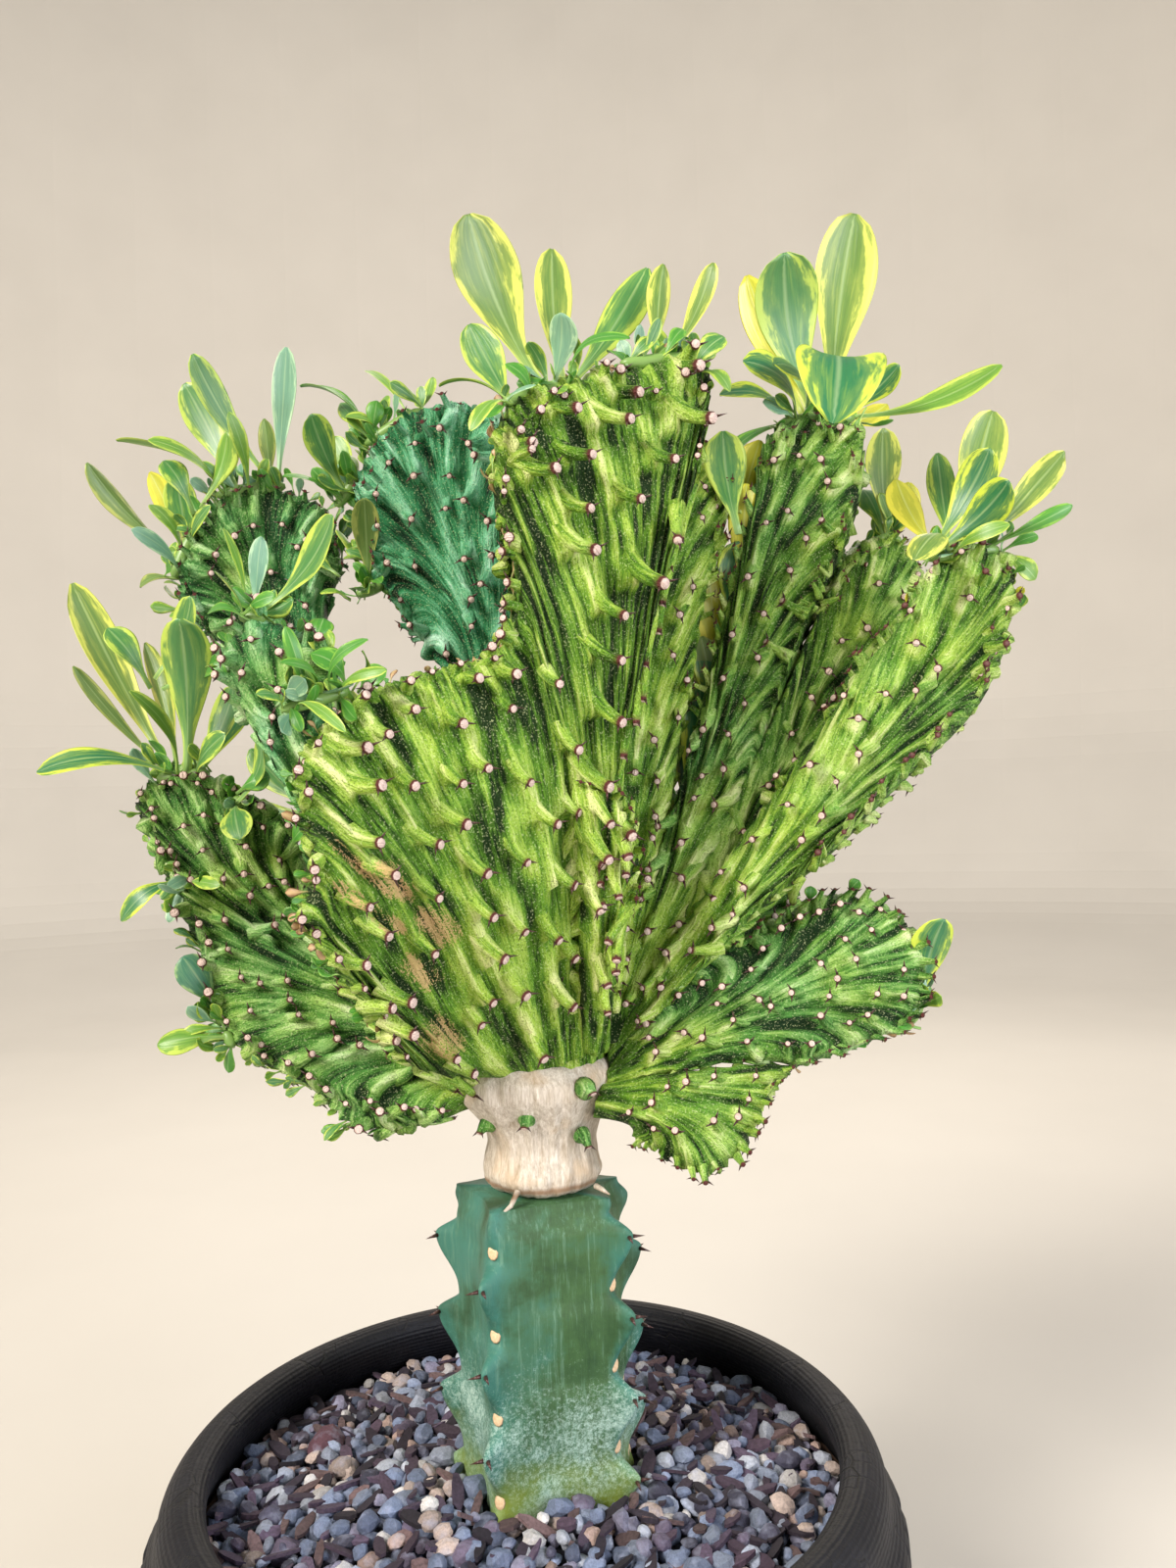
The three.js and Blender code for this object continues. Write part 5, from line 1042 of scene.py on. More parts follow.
        col = (np.arange(rim_count) + 0.5 + 0.5 * (draw.random(rim_count) - 0.5)) / rim_count * (columns - 1)
        row = (rows - 1) * (0.94 + 0.045 * draw.random(rim_count))
        base = read_grid(surfaces[side], row, col)
        out, a, b = (unit(read_grid(field, row, col)) for field in (stand, across, along))
        ahead = unit(side * out * 0.7 + b * 0.8 + draw.normal(size=out.shape) * 0.25)
        size = 0.7 + 0.6 * draw.random(rim_count)
        peg = pegs(base - side * out * (1 + 2 * big), ahead, side * out - 0.8 * big * b, a,
                   (5.6 + 4.4 * big) * size, (1.9 + 1.4 * big) * size, (1.0 + 0.7 * big) * size)
        peg["level"] = peg["level"] * (0.4 + 0.6 * big)
        parts.append((peg, row, col))
        tips.append((peg["tip"], peg["ahead"], ahead, a, (0.5 + 0.35 * big) * size))
    one = np.arange(rows * columns).reshape(rows, columns)
    two = one + rows * columns
    loops = np.concatenate([one, two[:, ::-1], one[:, :1]], axis=1)
    quads = np.stack([loops[:-1, :-1], loops[:-1, 1:], loops[1:, 1:], loops[1:, :-1]], -1).reshape(-1, 4)
    ends = [np.stack([line[:-1], line[1:], other[1:], other[:-1]], -1)
            for line, other in ((two[0], one[0]), (one[-1], two[-1]))]
    points = np.concatenate([surfaces[1].reshape(-1, 3), surfaces[-1].reshape(-1, 3)])
    deep = deep + 0.35 * front * smooth_step(u, 0.45, 0.75)
    cool = np.clip(blue * (0.3 + 0.7 * smooth_step(share_out, 0.1, 0.5)), 0, 1)
    dark = np.clip(deep * (0.15 + 0.85 * smooth_step(share_out, 0.1, 0.6)), -1, 1)
    grids = {"flow": np.stack([label * crest_width, travelled, np.full(aside.shape, float(seed))], -1),
             "tone": np.stack([cool, dark, 1 - smooth_step(share_out, 0.15, 0.7)], -1), "octave": octave}
    skin = {key: np.concatenate([grid, grid]).reshape(-1, *grid.shape[2:]) for key, grid in grids.items()}
    skin["relief"] = np.concatenate([np.stack([fold * 0.5 + 0.5, raised, aside * 0], -1).reshape(-1, 3)
                                     for raised in bulges])
    return (points, outward(points, [np.vstack([quads, *ends])])), skin, grids, parts, tips, coarse


crest_spines, crest_rims = [], {}
crest_lobes = {lobe["name"]: (lobe, n) for n, lobe in enumerate(LOBES)}

# Fleshy green skin with a thin wax: yellow-green on the ridges and dark green in the furrows, with painted
# shade deepening the furrows and a painted highlight on the ridge tops; streaked and finely speckled along
# the flow of the ridges, blue-green on some fans, dry beige scuffs where it rubbed.
skin_material, tree, place = new_material("fleshy_ribbed_skin", Roughness=0.5, Specular_IOR_Level=0.2)
flow, relief_place, tone_place = (add_node(tree, "Attribute", output=1, attribute_name=name)
                                  for name in ("flow", "relief", "tone"))
fold, bulge, scar = add_node(tree, "SeparateXYZ", {0: relief_place}).node.outputs
cool, dark, yellow = add_node(tree, "SeparateXYZ", {0: tone_place}).node.outputs
octave = add_node(tree, "Attribute", output=2, attribute_name="octave")
streaks = 0.0
for k in range(5):
    stretched = add_node(tree, "VectorMath", {0: flow, 1: (0.19 / 4**k, 0.022, 1.0)}, operation="MULTIPLY")
    band = add_node(tree, "TexNoise", {"Vector": stretched, "Scale": 1.0, "Detail": 5.0, "Roughness": 0.72})
    away = add_node(tree, "Math", {0: octave, 1: 0.5, 2: -1.0 * k}, operation="MULTIPLY_ADD")
    away = add_node(tree, "Math", {0: away}, operation="ABSOLUTE")
    share = add_node(tree, "Math", {0: 1.0, 1: away}, operation="SUBTRACT", use_clamp=True)
    streaks = add_node(tree, "Math", {0: band, 1: share, 2: streaks}, operation="MULTIPLY_ADD")
speckle = add_node(tree, "TexNoise", {"Vector": place, "Scale": 1300.0, "Detail": 2.0})
patches = add_node(tree, "TexNoise", {"Vector": place, "Scale": 26.0, "Detail": 3.0})
# Ridge height and the broad folds lift the colour ramp, so the dark furrow colour is partly painted shade and
# the pale top colour is partly a painted highlight, over the skin's own yellow-green ridges.
height = -2.02
for part, share in ((streaks, 4.3), (bulge, 0.78), (fold, 0.48), (dark, -0.4), (yellow, 0.06)):
    height = add_node(tree, "Math", {0: part, 1: share, 2: height}, operation="MULTIPLY_ADD")
warm, cold = (lay_tints(tree, linear(furrow), [
    (height, 0.0, 0.4, 1.0, side), (height, 0.4, 0.82, 1.0, ridge), (height, 0.82, 1.4, 1.0, top)])
    for furrow, side, ridge, top in (("#102a03", "#5b8a22", "#a2c248", "#e6eda0"),
                                     ("#072c1a", "#2c7e4c", "#6fb98c", "#bfeacf")))
cool_share = add_node(tree, "Math", {0: patches, 1: 1.6, 2: -0.8}, operation="MULTIPLY_ADD")
for how, value in (("ADD", cool), ("MULTIPLY", cool), ("MULTIPLY", 1.5)):
    cool_share = add_node(tree, "Math", {0: cool_share, 1: value}, operation=how, use_clamp=True)
scuff_share = add_node(tree, "Attribute", output=2, attribute_name="scuff")
scuff_edge = -3.4
for part, share in ((streaks, 6.0), (speckle, 2.6)):
    scuff_edge = add_node(tree, "Math", {0: part, 1: share, 2: scuff_edge}, operation="MULTIPLY_ADD")
scuff_edge = add_node(tree, "Math", {0: scuff_edge, 1: scuff_share}, operation="MULTIPLY")
colour = add_node(tree, "Mix", {0: cool_share, 6: warm, 7: cold}, **RGBA)
colour = lay_tints(tree, colour, [
    (speckle, 0.58, 0.68, 0.36, "#e6efb4"), (speckle, 0.42, 0.33, 0.5, "#1f3d12"),
    (scuff_edge, 0.45, 0.75, 0.8, "#cfa87a"),
    (scar, 0.1, 0.3, 1.0, "#5c2f2c"), (scar, 0.6, 0.85, 1.0, "#e4cabf")])
relief = add_node(tree, "Math", {0: streaks, 1: 5.0, 2: speckle}, operation="MULTIPLY_ADD")
bump = add_node(tree, "Bump", {"Height": relief, "Strength": 0.85, "Distance": 0.0016})
feed_shader(tree, Base_Color=colour, Normal=bump)

# The front fan is scuffed where it rubbed. A scuff is the two ends of its line, seen from the front, and
# its width.
SCUFFS = [((-56, 458), (-37, 437), 2.0), ((-54, 441), (-35, 423), 2.2), ((-37, 446), (-33, 438), 4.0),
          ((-25, 426), (-20, 421), 5.0), ((-27, 380), (-24, 374), 6.0), ((-32, 408), (-28, 402), 4.5)]
# The heart of the crest is a rounded knob of old stem where the fans grow together.
HEART_AXIS, HEART_SIDES = (16, -4), 48
HEART_PROFILE = [[2, 338], [20, 340], [25, 350], [26, 358], [24, 368], [18, 376], [9, 381], [2, 382]]


def scuff_of(points):
    """How scuffed each point is: 1 on a scuff's line, falling with distance to 0 at 2.2 widths."""
    worn = np.zeros(len(points))
    for start, end, reach in SCUFFS:
        start, end = np.array(start, float), np.array(end, float)
        flat = points[:, [0, 2]] - start
        t = np.clip(flat @ (end - start) / np.sum((end - start) ** 2), 0, 1)
        distance = np.linalg.norm(flat - t[:, None] * (end - start), axis=1)
        worn = np.maximum(worn, 1 - distance / (2.2 * reach))
    return np.clip(worn, 0, 1)


for piece_name, names in CREST_PIECES.items():
    parts, skins = [], []
    for name in names:
        lobe, number = crest_lobes[name]
        shape, skin, grids, peg_parts, tips, crest_rims[name] = fan_surface(lobe, 3 + number)
        parts.append(shape)
        skins.append(skin)
        for peg, row, col in peg_parts:
            here = {key: np.repeat(read_grid(grid, row, col), peg["size"], axis=0)
                    for key, grid in grids.items()}
            off, back = peg["places"].T
            level = peg["level"]
            here["flow"] = here["flow"] + np.stack([off * 2 ** here["octave"], back, off * 0], -1)
            # The pegs feed their bulge into the same ramp, so a painted highlight fades from their root to
            # their tip.
            here["relief"] = np.stack([np.full(len(level), 0.5), peg["bulge"] * 0.78, level], -1)
            parts.append(peg["shape"])
            skins.append(here)
        for tip, out, back, across, size in tips:
            for hand in (-1, 1):
                crest_spines.append((tip + across * (hand * 1.7 * size)[:, None] - out * 1.0,
                                     out * 0.7 + back * 0.3 + across * hand * 1.1,
                                     4.0 * size ** 0.6, 0.72 * size ** 0.5))
    if piece_name == "crest_inner_fans":
        profile, _ = even_profile(HEART_PROFILE, 3.0, 2)
        turn, height = turn_and_height(profile, HEART_SIDES)
        heart, heart_faces = turned_shape(profile[:, :1], turn, height, *HEART_AXIS)
        parts.append((heart, heart_faces))
        skins.append({
            "flow": np.stack([np.arctan2(heart[:, 1], heart[:, 0]) * 30, heart[:, 2], heart[:, 2] * 0], -1),
            "relief": np.tile([0.5, 0.2, 0.0], (len(heart), 1)),
            "tone": np.tile([0.1, 0.3, 0.6], (len(heart), 1)), "octave": np.zeros(len(heart))})
    points, faces = join_parts(parts)
    skin = {key: np.concatenate([part[key] for part in skins]) for key in skins[0]}
    skin["scuff"] = scuff_of(points) if piece_name == "crest_front_fans" else np.zeros(len(points))
    piece = put_mesh(piece_name, points, faces, skin_material, attributes=skin)
    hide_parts("crest")

# Four dormant buds have broken through the collar's bark: fleshy green knobs, each with a cork scar and two
# spines. Two strips of the old cork hang torn at the graft.
# A bud is its place, its reach, and its radius at root and tip. They point away from a hub in the collar.
BUDS = np.array([[5.4, -34, 336.3, 6.5, 4.6, 1.6], [31.5, -30, 326, 5.5, 4.0, 1.4],
                 [33.5, -35, 349.6, 7.0, 5.0, 1.7], [-14, -26, 332, 5.5, 4.2, 1.5]])
BUD_HUB, BUD_SPINE, BUD_SPINE_RADIUS = [11, 5, 336], 3.4, 0.7
STRIPS = [([1.3, -30, 306], [-1.5, -34, 301], [-5.8, -36, 298.1]),
          ([34.2, -27, 306], [37, -32, 306], [39.8, -35, 304.9])]
bud_out = unit(BUDS[:, :3] - BUD_HUB)
bud = pegs(BUDS[:, :3] - bud_out * 4, bud_out, np.tile([0.0, 0, -1], (len(BUDS), 1)),
           unit(np.cross(bud_out, [0.0, 0, 1])), *BUDS[:, 3:].T, sides=14)
level = bud["level"]
buds = put_mesh("scion_collar_buds", *bud["shape"], skin_material, attributes={
    "flow": np.column_stack([bud["places"], np.repeat([1.0, 5, 9, 13], bud["size"])]),
    "relief": np.stack([level * 0 + 0.4, bud["bulge"] * 0.4, level], -1),
    "tone": np.tile([0.6, 0.4, 0.2], (len(level), 1)), "octave": level * 0, "scuff": level * 0})
strip_shape = join_parts([tube(path, [1.3, 1.0, 0.3], sides=7) for path in STRIPS])
strips = put_mesh("scion_collar_torn_strips", *strip_shape, cork)
tip, ahead = bud["tip"], bud["ahead"]
across = np.cross(ahead, [0.0, 0, 1])
for hand in (-1, 1):
    crest_spines.append((tip + across * hand * 1.8 - ahead, ahead * 0.6 + across * hand,
                         np.full(len(BUDS), BUD_SPINE), np.full(len(BUDS), BUD_SPINE_RADIUS)))
spine_shape = spikes(*(np.concatenate(part) for part in zip(*crest_spines)), sides=3)
tubercle_spines = put_mesh("crest_tubercle_spines", *spine_shape, horn)

# The leaves stand in tufts on the growing edges. Each is a spatulate blade on a short stalk, mid green or
# glaucous inside an irregular yellow margin, thin, with a pale midrib. Grown from a bud line on the crest.

# A tuft is its node, its leaves' looks by letter, its bud line's ends and radius, and its leaves. A leaf is
# its base, tip, width, bow out of its plane, and the turn of its face in degrees.
TUFTS = [
    ("far_left_top_leaves", "ggblllo", [[-138, 45, 624], [-110, 48, 628], 6], [
         [[-116, 46, 633], [-145, 28, 687], 15, -6, 10],
         [[-131, 43, 628], [-157, 52, 682], 18, -4, -20],
         [[-111, 48, 629], [-107, 56, 700], 12, -4, 15], [[-124, 42, 625], [-126, 20, 656], 8, 4, 30],
         [[-137, 43, 624], [-162, 14, 642], 13, 6, 20], [[-133, 47, 629], [-187, 40, 651], 11, 5, 65],
         [[-116, 52, 631], [-125, 78, 672], 9, -3, 0]]),
    ("far_left_low_leaves", "obgygl", [[-159, 38, 585], [-151, 40, 603], 6], [
         [[-156, 38, 592], [-194, 22, 635], 12, -6, 15], [[-157, 36, 585], [-166, 2, 598], 9, 5, -35],
         [[-153, 40, 597], [-165, 60, 638], 16, -4, 10],
         [[-156, 42, 598], [-187, 84, 648], 12, -4, -15], [[-151, 38, 598], [-135, 18, 612], 6, 3, 30],
         [[-156, 40, 594], [-170, 36, 618], 12, 4, 40]]),
    ("left_neck_leaves", "gblo", [[-98, -62, 546], [-90, -64, 545], 4.5], [
         [[-91, -64, 547], [-58, -78, 581], 19, -5, -15],
         [[-94, -60, 548], [-94, -48, 581], 8, -3, 25], [[-96, -64, 547], [-102, -72, 579], 6, 2, 60],
         [[-97, -66, 546], [-102, -84, 560], 3, 2, 45]]),
    ("back_left_side_leaves", "olk", [[-69, 31, 571], [-60, 32, 574], 4.5], [
         [[-65, 31, 573], [-62, 10, 611], 13, -4, 10], [[-67, 33, 574], [-82, 44, 605], 8, 3, 50],
         [[-61, 30, 573], [-54, 2, 570], 6, 3, 10]]),
    ("back_left_shoulder_leaves", "gkl", [[-79, 37, 616], [-70, 37, 628], 5], [
         [[-75, 35, 619], [-86, 12, 651], 16, -4, 5], [[-78, 35, 616], [-98, 6, 621], 7, 4, 20],
         [[-72, 37, 626], [-84, 52, 653], 11, -3, -20]]),
    ("back_left_crest_leaves", "kgll", [[-64, 37, 645], [-40, 37, 659], 5], [
         [[-63, 39, 647], [-98, 44, 676], 10, 8, 40], [[-64, 39, 647], [-81, 56, 671], 9, 3, -20],
         [[-45, 39, 658], [-69, 62, 689], 7, 4, 20], [[-41, 37, 659], [-34, 52, 681], 7, -3, -20]]),
    ("head_left_leaves", "ppgbkgll", [[9, -60, 629], [35, -56, 637], 5.5], [
         [[22, -59, 636], [-4, -66, 702], 29, -8, 5], [[32, -52, 637], [28, -20, 709], 17, -6, 15],
         [[10, -56, 630], [-8, -30, 673], 17, -5, -15], [[27, -59, 634], [32, -72, 659], 13, -3, -20],
         [[34, -60, 635], [58, -78, 646], 7, 9, -10], [[33, -48, 638], [70, -10, 704], 18, -5, 0],
         [[10, -62, 628], [-20, -44, 642], 6, 5, 35], [[11, -64, 626], [-4, -84, 610], 7, 6, 10]]),
    ("head_right_leaves", "pp", [[57, -49, 647], [87, -44, 650], 5], [
         [[71, -45, 651], [76, -24, 699], 11, -4, 20], [[76, -46, 651], [97, -30, 696], 10, -5, -10]]),
    ("column_crown_leaves", "dgpyddydldyk", [[136, 36, 647], [167, 36, 649], 7], [
         [[152, 28, 649], [144, -34, 624], 39, 26, 0], [[151, 36, 653], [135, 14, 720], 35, -10, 0],
         [[160, 40, 654], [179, 58, 759], 32, -8, 10], [[146, 40, 653], [126, 72, 736], 20, -6, -15],
         [[146, 34, 650], [125, -6, 661], 17, 8, 0], [[141, 34, 649], [113, 6, 667], 23, 8, 0],
         [[149, 38, 652], [136, 50, 707], 12, -4, 0], [[164, 34, 649], [186, 12, 665], 12, -3, 20],
         [[166, 36, 650], [237, 22, 667], 17, -8, -10], [[140, 36, 648], [104, 24, 658], 15, 7, 15],
         [[167, 40, 649], [194, 66, 665], 15, -4, 0], [[139, 38, 648], [110, 66, 631], 15, 8, 10]]),
    ("right_middle_edge_leaves", "pgy", [[184, 45, 592], [191, 46, 591], 5], [
         [[187, 46, 593], [183, 34, 643], 19, -4, 5], [[185, 47, 593], [179, 62, 621], 13, 4, -10],
         [[190, 48, 591], [204, 66, 625], 17, -4, 0]]),
    ("right_outer_crown_leaves", "ddppkpygl", [[188, -15, 571], [217, -13, 573], 6], [
         [[190, -17, 575], [213, -26, 614], 17, -6, -10],
         [[188, -21, 571], [214, -44, 595], 18, -7, 10], [[205, -10, 576], [231, 20, 645], 22, -5, 5],
         [[213, -12, 576], [254, -4, 618], 14, -6, 10], [[216, -14, 575], [248, -24, 589], 7, 5, 35],
         [[195, -21, 571], [171, -52, 562], 14, 9, 20], [[193, -9, 576], [185, 22, 615], 16, -4, 0],
         [[199, -9, 577], [206, 26, 628], 13, -4, -20], [[198, -19, 571], [215, -40, 578], 7, 6, 30]]),
    ("low_left_crown_leaves", "gpdlogdgpl", [[-156, 6, 485], [-139, 10, 487], 6.5], [
         [[-145, 5, 488], [-137, -22, 553], 23, -6, 5], [[-153, 9, 488], [-203, 24, 579], 18, -8, 10],
         [[-152, 5, 487], [-204, -14, 489], 15, 9, 15], [[-149, 3, 487], [-158, -26, 522], 9, 7, 50],
         [[-154, 9, 488], [-194, 2, 537], 8, -4, 20], [[-143, 10, 487], [-127, 22, 528], 15, -4, -10],
         [[-142, 12, 487], [-125, 40, 528], 12, -4, 10], [[-141, 6, 486], [-121, -14, 503], 11, 3, 10],
         [[-152, 11, 488], [-177, 44, 553], 11, -5, -20], [[-153, 11, 486], [-186, 26, 494], 7, 5, 20]]),
    ("low_left_back_edge_leaves", "gg", [[-124, 3, 472], [-121, 3, 474], 5], [
         [[-122, -1, 472], [-103, -24, 500], 14, -5, -15],
         [[-121, -2, 471], [-113, -24, 457], 14, 4, 0]]),
    ("low_left_side_leaves", "dl", [[-142, -9, 440], [-138, -9, 439], 4.5], [
         [[-141, -12, 439], [-164, -26, 424], 9, 9, 0], [[-138, -13, 439], [-120, -30, 438], 6, 3, 20]]),
    ("low_left_waist_leaves", "t", [[-128, -14, 385], [-126, -16, 379], 4], [
         [[-128, -14, 383], [-139, -24, 408], 15, 3, 10]]),
    ("low_left_tip_leaves", "l", [[-123, -17, 373], [-121, -18, 369], 4], [
         [[-122, -18, 372], [-150, -26, 371], 12, 3, 5]]),
    ("front_edge_curls_leaves", "kkkll", [[-74, -95, 506], [-54, -88, 512], 4], [
         [[-67, -92, 509], [-71, -104, 535], 6, 5, 10], [[-64, -91, 510], [-71, -112, 521], 6, 6, 20],
         [[-58, -88, 511], [-42, -100, 530], 6, 7, -20], [[-70, -94, 507], [-47, -120, 495], 5, 6, 0],
         [[-56, -88, 510], [-35, -104, 518], 6, 5, 0]]),
    ("low_right_crown_leaves", "d", [[176, -3, 367], [181, 0, 373], 4.5], [
         [[179, -2, 369], [191, -8, 412], 20, -4, 20]]),
    ("back_high_leaves", "gpgyl", [[11, 117, 603], [51, 114, 596], 5.5], [
         [[17, 118, 604], [-10, 140, 662], 20, 5, 170], [[29, 117, 605], [34, 150, 655], 17, 4, 190],
         [[44, 115, 601], [70, 140, 640], 16, 4, 160], [[22, 119, 603], [2, 158, 628], 13, 5, 180],
         [[49, 115, 596], [84, 118, 628], 12, 5, 165]]),
    ("back_low_left_leaves", "gdpl", [[-112, 102, 465], [-93, 110, 482], 5.5], [
         [[-110, 103, 469], [-150, 124, 504], 18, 5, 190],
         [[-105, 107, 476], [-126, 140, 520], 20, 5, 170],
         [[-99, 108, 482], [-96, 138, 536], 16, 4, 180],
         [[-112, 101, 467], [-160, 108, 470], 14, 5, 150]]),
    ("back_low_right_leaves", "gpdl", [[103, 108, 472], [126, 102, 458], 5.5], [
         [[107, 108, 474], [120, 146, 524], 20, 5, 185],
         [[115, 105, 471], [158, 132, 506], 18, 5, 170],
         [[124, 102, 464], [172, 118, 470], 15, 5, 200], [[105, 110, 474], [96, 142, 516], 14, 4, 180]]),
]
LEAF_PETIOLE, LEAF_STALK, LEAF_WIDEST, LEAF_THICKNESS = 0.18, 0.12, 0.72, 0.75
LEAF_FACE = np.array([0.05, -0.87, 0.49])
leaf_box = np.array(cad_low) / MM + 0.05, np.array(cad_high) / MM - 0.05
# A look is the colour of the blade, that of its margin, and the margin's width.
LEAF_LOOKS = {
    "g": ("#457c3e", "#b8cc54", 0.2), "p": ("#5f7e38", "#cccf5e", 0.24), "b": ("#6c987c", "#accaa0", 0.14),
    "l": ("#608e32", "#b4c852", 0.22), "d": ("#2d6e42", "#c3d244", 0.22), "y": ("#a9ab30", "#cfc842", 0.38),
    "o": ("#5f7c3a", "#aab05c", 0.18), "k": ("#42822c", "#80b040", 0.12), "t": ("#40785e", "#9ab87c", 0.13),
    "c": ("#b99a70", "#80603f", 0.35),
}


def leaf_blades(rows, looks, seed, rings=20, sides=18):
    """Blades whose half width swells from the stalk and closes in a round tip. The centre line is a parabola
    out of the leaf's plane, and the section is a thin lens, cupped and rippled, with a sunk midrib. No leaf
    reaches out of the box of the solids."""
    draw = np.random.default_rng(seed)
    base = np.array([row[0] for row in rows], float)
    axis = np.array([row[1] for row in rows], float) - base
    width, bow, turn = (np.array([row[k] for row in rows], float)[:, None] for k in (2, 3, 4))
    count = len(rows)
    length = np.linalg.norm(axis, axis=1, keepdims=True)
    axis = axis / length
    face = unit(LEAF_FACE - axis * (axis @ LEAF_FACE)[:, None])
    angle = np.radians(turn)
    face = face * np.cos(angle) + np.cross(axis, face) * np.sin(angle)
    side = np.cross(axis, face)
    t = np.linspace(0, 1, rings) ** 0.9
    t[-1] = 0.997
    swell = mix(LEAF_PETIOLE, 1, smooth_step(t, LEAF_STALK, LEAF_WIDEST))
    close = np.sqrt(1 - np.clip((t - LEAF_WIDEST) / (1 - LEAF_WIDEST), 0, 1) ** 2)
    h = ((width / 2) * swell * close)[:, :, None]
    along = np.where(t == 0, -2.0, length * t)
    bend = 4 * bow * t * (1 - t)
    centre = base[:, None] + axis[:, None] * along[..., None] + face[:, None] * bend[..., None]
    angle = np.linspace(0, 2 * np.pi, sides, endpoint=False)[None, None]
    x, lens, out = np.cos(angle), np.sin(angle), t[None, :, None]
    cup = (0.10 + 0.22 * draw.random((count, 1, 1))) * draw.choice([-1, 1, 1], (count, 1, 1))
    ripple = draw.random((count, 1, 1)) * 6
    thick = LEAF_THICKNESS * (1.3 - 0.5 * out) * np.minimum(1, width / 9)[:, :, None]
    wave = 0.05 * h * np.abs(x) ** 2 * np.sin(9 * out + ripple + 2 * np.sign(x))
    groove = -0.35 * np.exp(-((x / 0.12) ** 2)) * np.minimum(1, h / 4)
    rise = thick * lens * (1.05 - np.abs(x)) + cup * h * x**2 * 0.9 + wave + groove
    notch = 0.02 * length[:, :, None] * np.exp(-((x / 0.3) ** 2)) * smooth_step(out, 0.9, 1.0)
    points = (centre[:, :, None] + side[:, None, None] * (h * x)[..., None]
              + face[:, None, None] * rise[..., None] - axis[:, None, None] * notch[..., None])
    ends = np.stack([centre[:, 0], centre[:, -1] + axis * 0.1 + face * rise[:, -1].mean(1)[:, None]], 1)
    points = np.clip(np.concatenate([points.reshape(count, -1, 3), ends], axis=1), *leaf_box)
    size = points.shape[1]
    faces = [copies(part, count, size) for part in outward(points[0], closed_rings(rings, sides))]
    seeds = draw.random(count) * 50
    own = np.stack([*np.broadcast_arrays(x, out, seeds[:, None, None])], -1).reshape(count, -1, 3)
    own_ends = np.stack([np.stack([np.zeros(count), np.full(count, e), seeds], -1) for e in (0.0, 1.0)], 1)
    inner, margin, border = zip(*(LEAF_LOOKS[letter] for letter in looks))
    return points.reshape(-1, 3), faces, {
        "blade": np.concatenate([own, own_ends], axis=1).reshape(-1, 3),
        "blade_colour": np.repeat([linear(tint) for tint in inner], size, axis=0),
        "margin_colour": np.repeat([linear(tint) for tint in margin], size, axis=0),
        "margin_width": np.repeat(border, size)}


# Thin fleshy leaf: satin, each with its own green and its own ragged yellow margin, veins faint and pale.
leaf_skin, tree, _ = new_material("variegated_leaf", Roughness=0.38, Subsurface_Weight=0.12,
                                  Subsurface_Radius=(0.002, 0.003, 0.001))
blade = add_node(tree, "Attribute", output=1, attribute_name="blade")
blade_aside, blade_along, _ = add_node(tree, "SeparateXYZ", {0: blade}).node.outputs
inner = add_node(tree, "Attribute", attribute_name="blade_colour")
margin = add_node(tree, "Attribute", attribute_name="margin_colour")
border = add_node(tree, "Attribute", output=2, attribute_name="margin_width")
off_middle = add_node(tree, "Math", {0: blade_aside}, operation="ABSOLUTE")
to_edge = add_node(tree, "Math", {0: 1.0, 1: off_middle}, operation="SUBTRACT")
stretched = add_node(tree, "VectorMath", {0: blade, 1: (2.2, 3.0, 1.0)}, operation="MULTIPLY")
ragged = add_node(tree, "TexNoise", {"Vector": stretched, "Scale": 1.6, "Detail": 4.0, "Roughness": 0.6})
shift = add_node(tree, "Math", {0: ragged, 1: 1.7, 2: -0.85}, operation="MULTIPLY_ADD")
edge_place = add_node(tree, "Math", {0: to_edge, 1: shift}, operation="ADD")
edge_place = add_node(tree, "Math", {0: border, 1: -1.1, 2: edge_place}, operation="MULTIPLY_ADD")
feather_flow = add_node(tree, "VectorMath", {0: blade, 1: (7.0, 2.2, 1.0)}, operation="MULTIPLY")
feather = add_node(tree, "TexNoise", {"Vector": feather_flow, "Scale": 1.3, "Detail": 3.0})
shade = add_node(tree, "MapRange", {0: feather, 1: 0.25, 2: 0.5, 3: 0.84, 4: 1.0})
colour = lay_tints(tree, inner, [(feather, 0.52, 0.75, 0.26, margin)])
colour = add_node(tree, "Mix", {0: 1.0, 6: colour, 7: shade}, blend_type="MULTIPLY", **RGBA)
colour = lay_tints(tree, colour, [
    (edge_place, 0.45, 0.0, 0.2, margin), (edge_place, 0.1, -0.08, 0.88, margin),
    (off_middle, 0.09, 0.015, 0.24, "#c9dba0"), (blade_along, 0.35, 0.05, 0.5, "#a9c97a")])
bump = add_node(tree, "Bump", {"Height": feather, "Strength": 0.25, "Distance": 0.0006})
feed_shader(tree, Base_Color=colour, Normal=bump)


def bud_line(start, end, radius):
    """A short swollen bud: a tube whose radius rises and falls as a sine between two points."""
    ahead = unit(end - start)
    t = np.linspace(0, 1, 14)
    path = mix(start - ahead * 0.6 * radius, end + ahead * 0.6 * radius, t[:, None])
    return tube(path, radius * (0.3 + 0.7 * np.sin(np.pi * t) ** 0.4) * 0.9, sides=12)


def young_rows(draw, places, ways, longest):
    """Rows of small leaves: each stands at a place, along its way with a random lean, and curls a little."""
    count = len(places)
    length = longest * (0.4 + 0.6 * draw.random(count) ** 1.5)
    tips = places + unit(ways + draw.normal(size=(count, 3)) * 0.42) * length[:, None]
    return [[places[k], tips[k], 1.2 + length[k] * (0.24 + 0.12 * draw.random()),
             length[k] * draw.uniform(-0.25, 0.2), draw.uniform(-60, 60)] for k in range(count)]


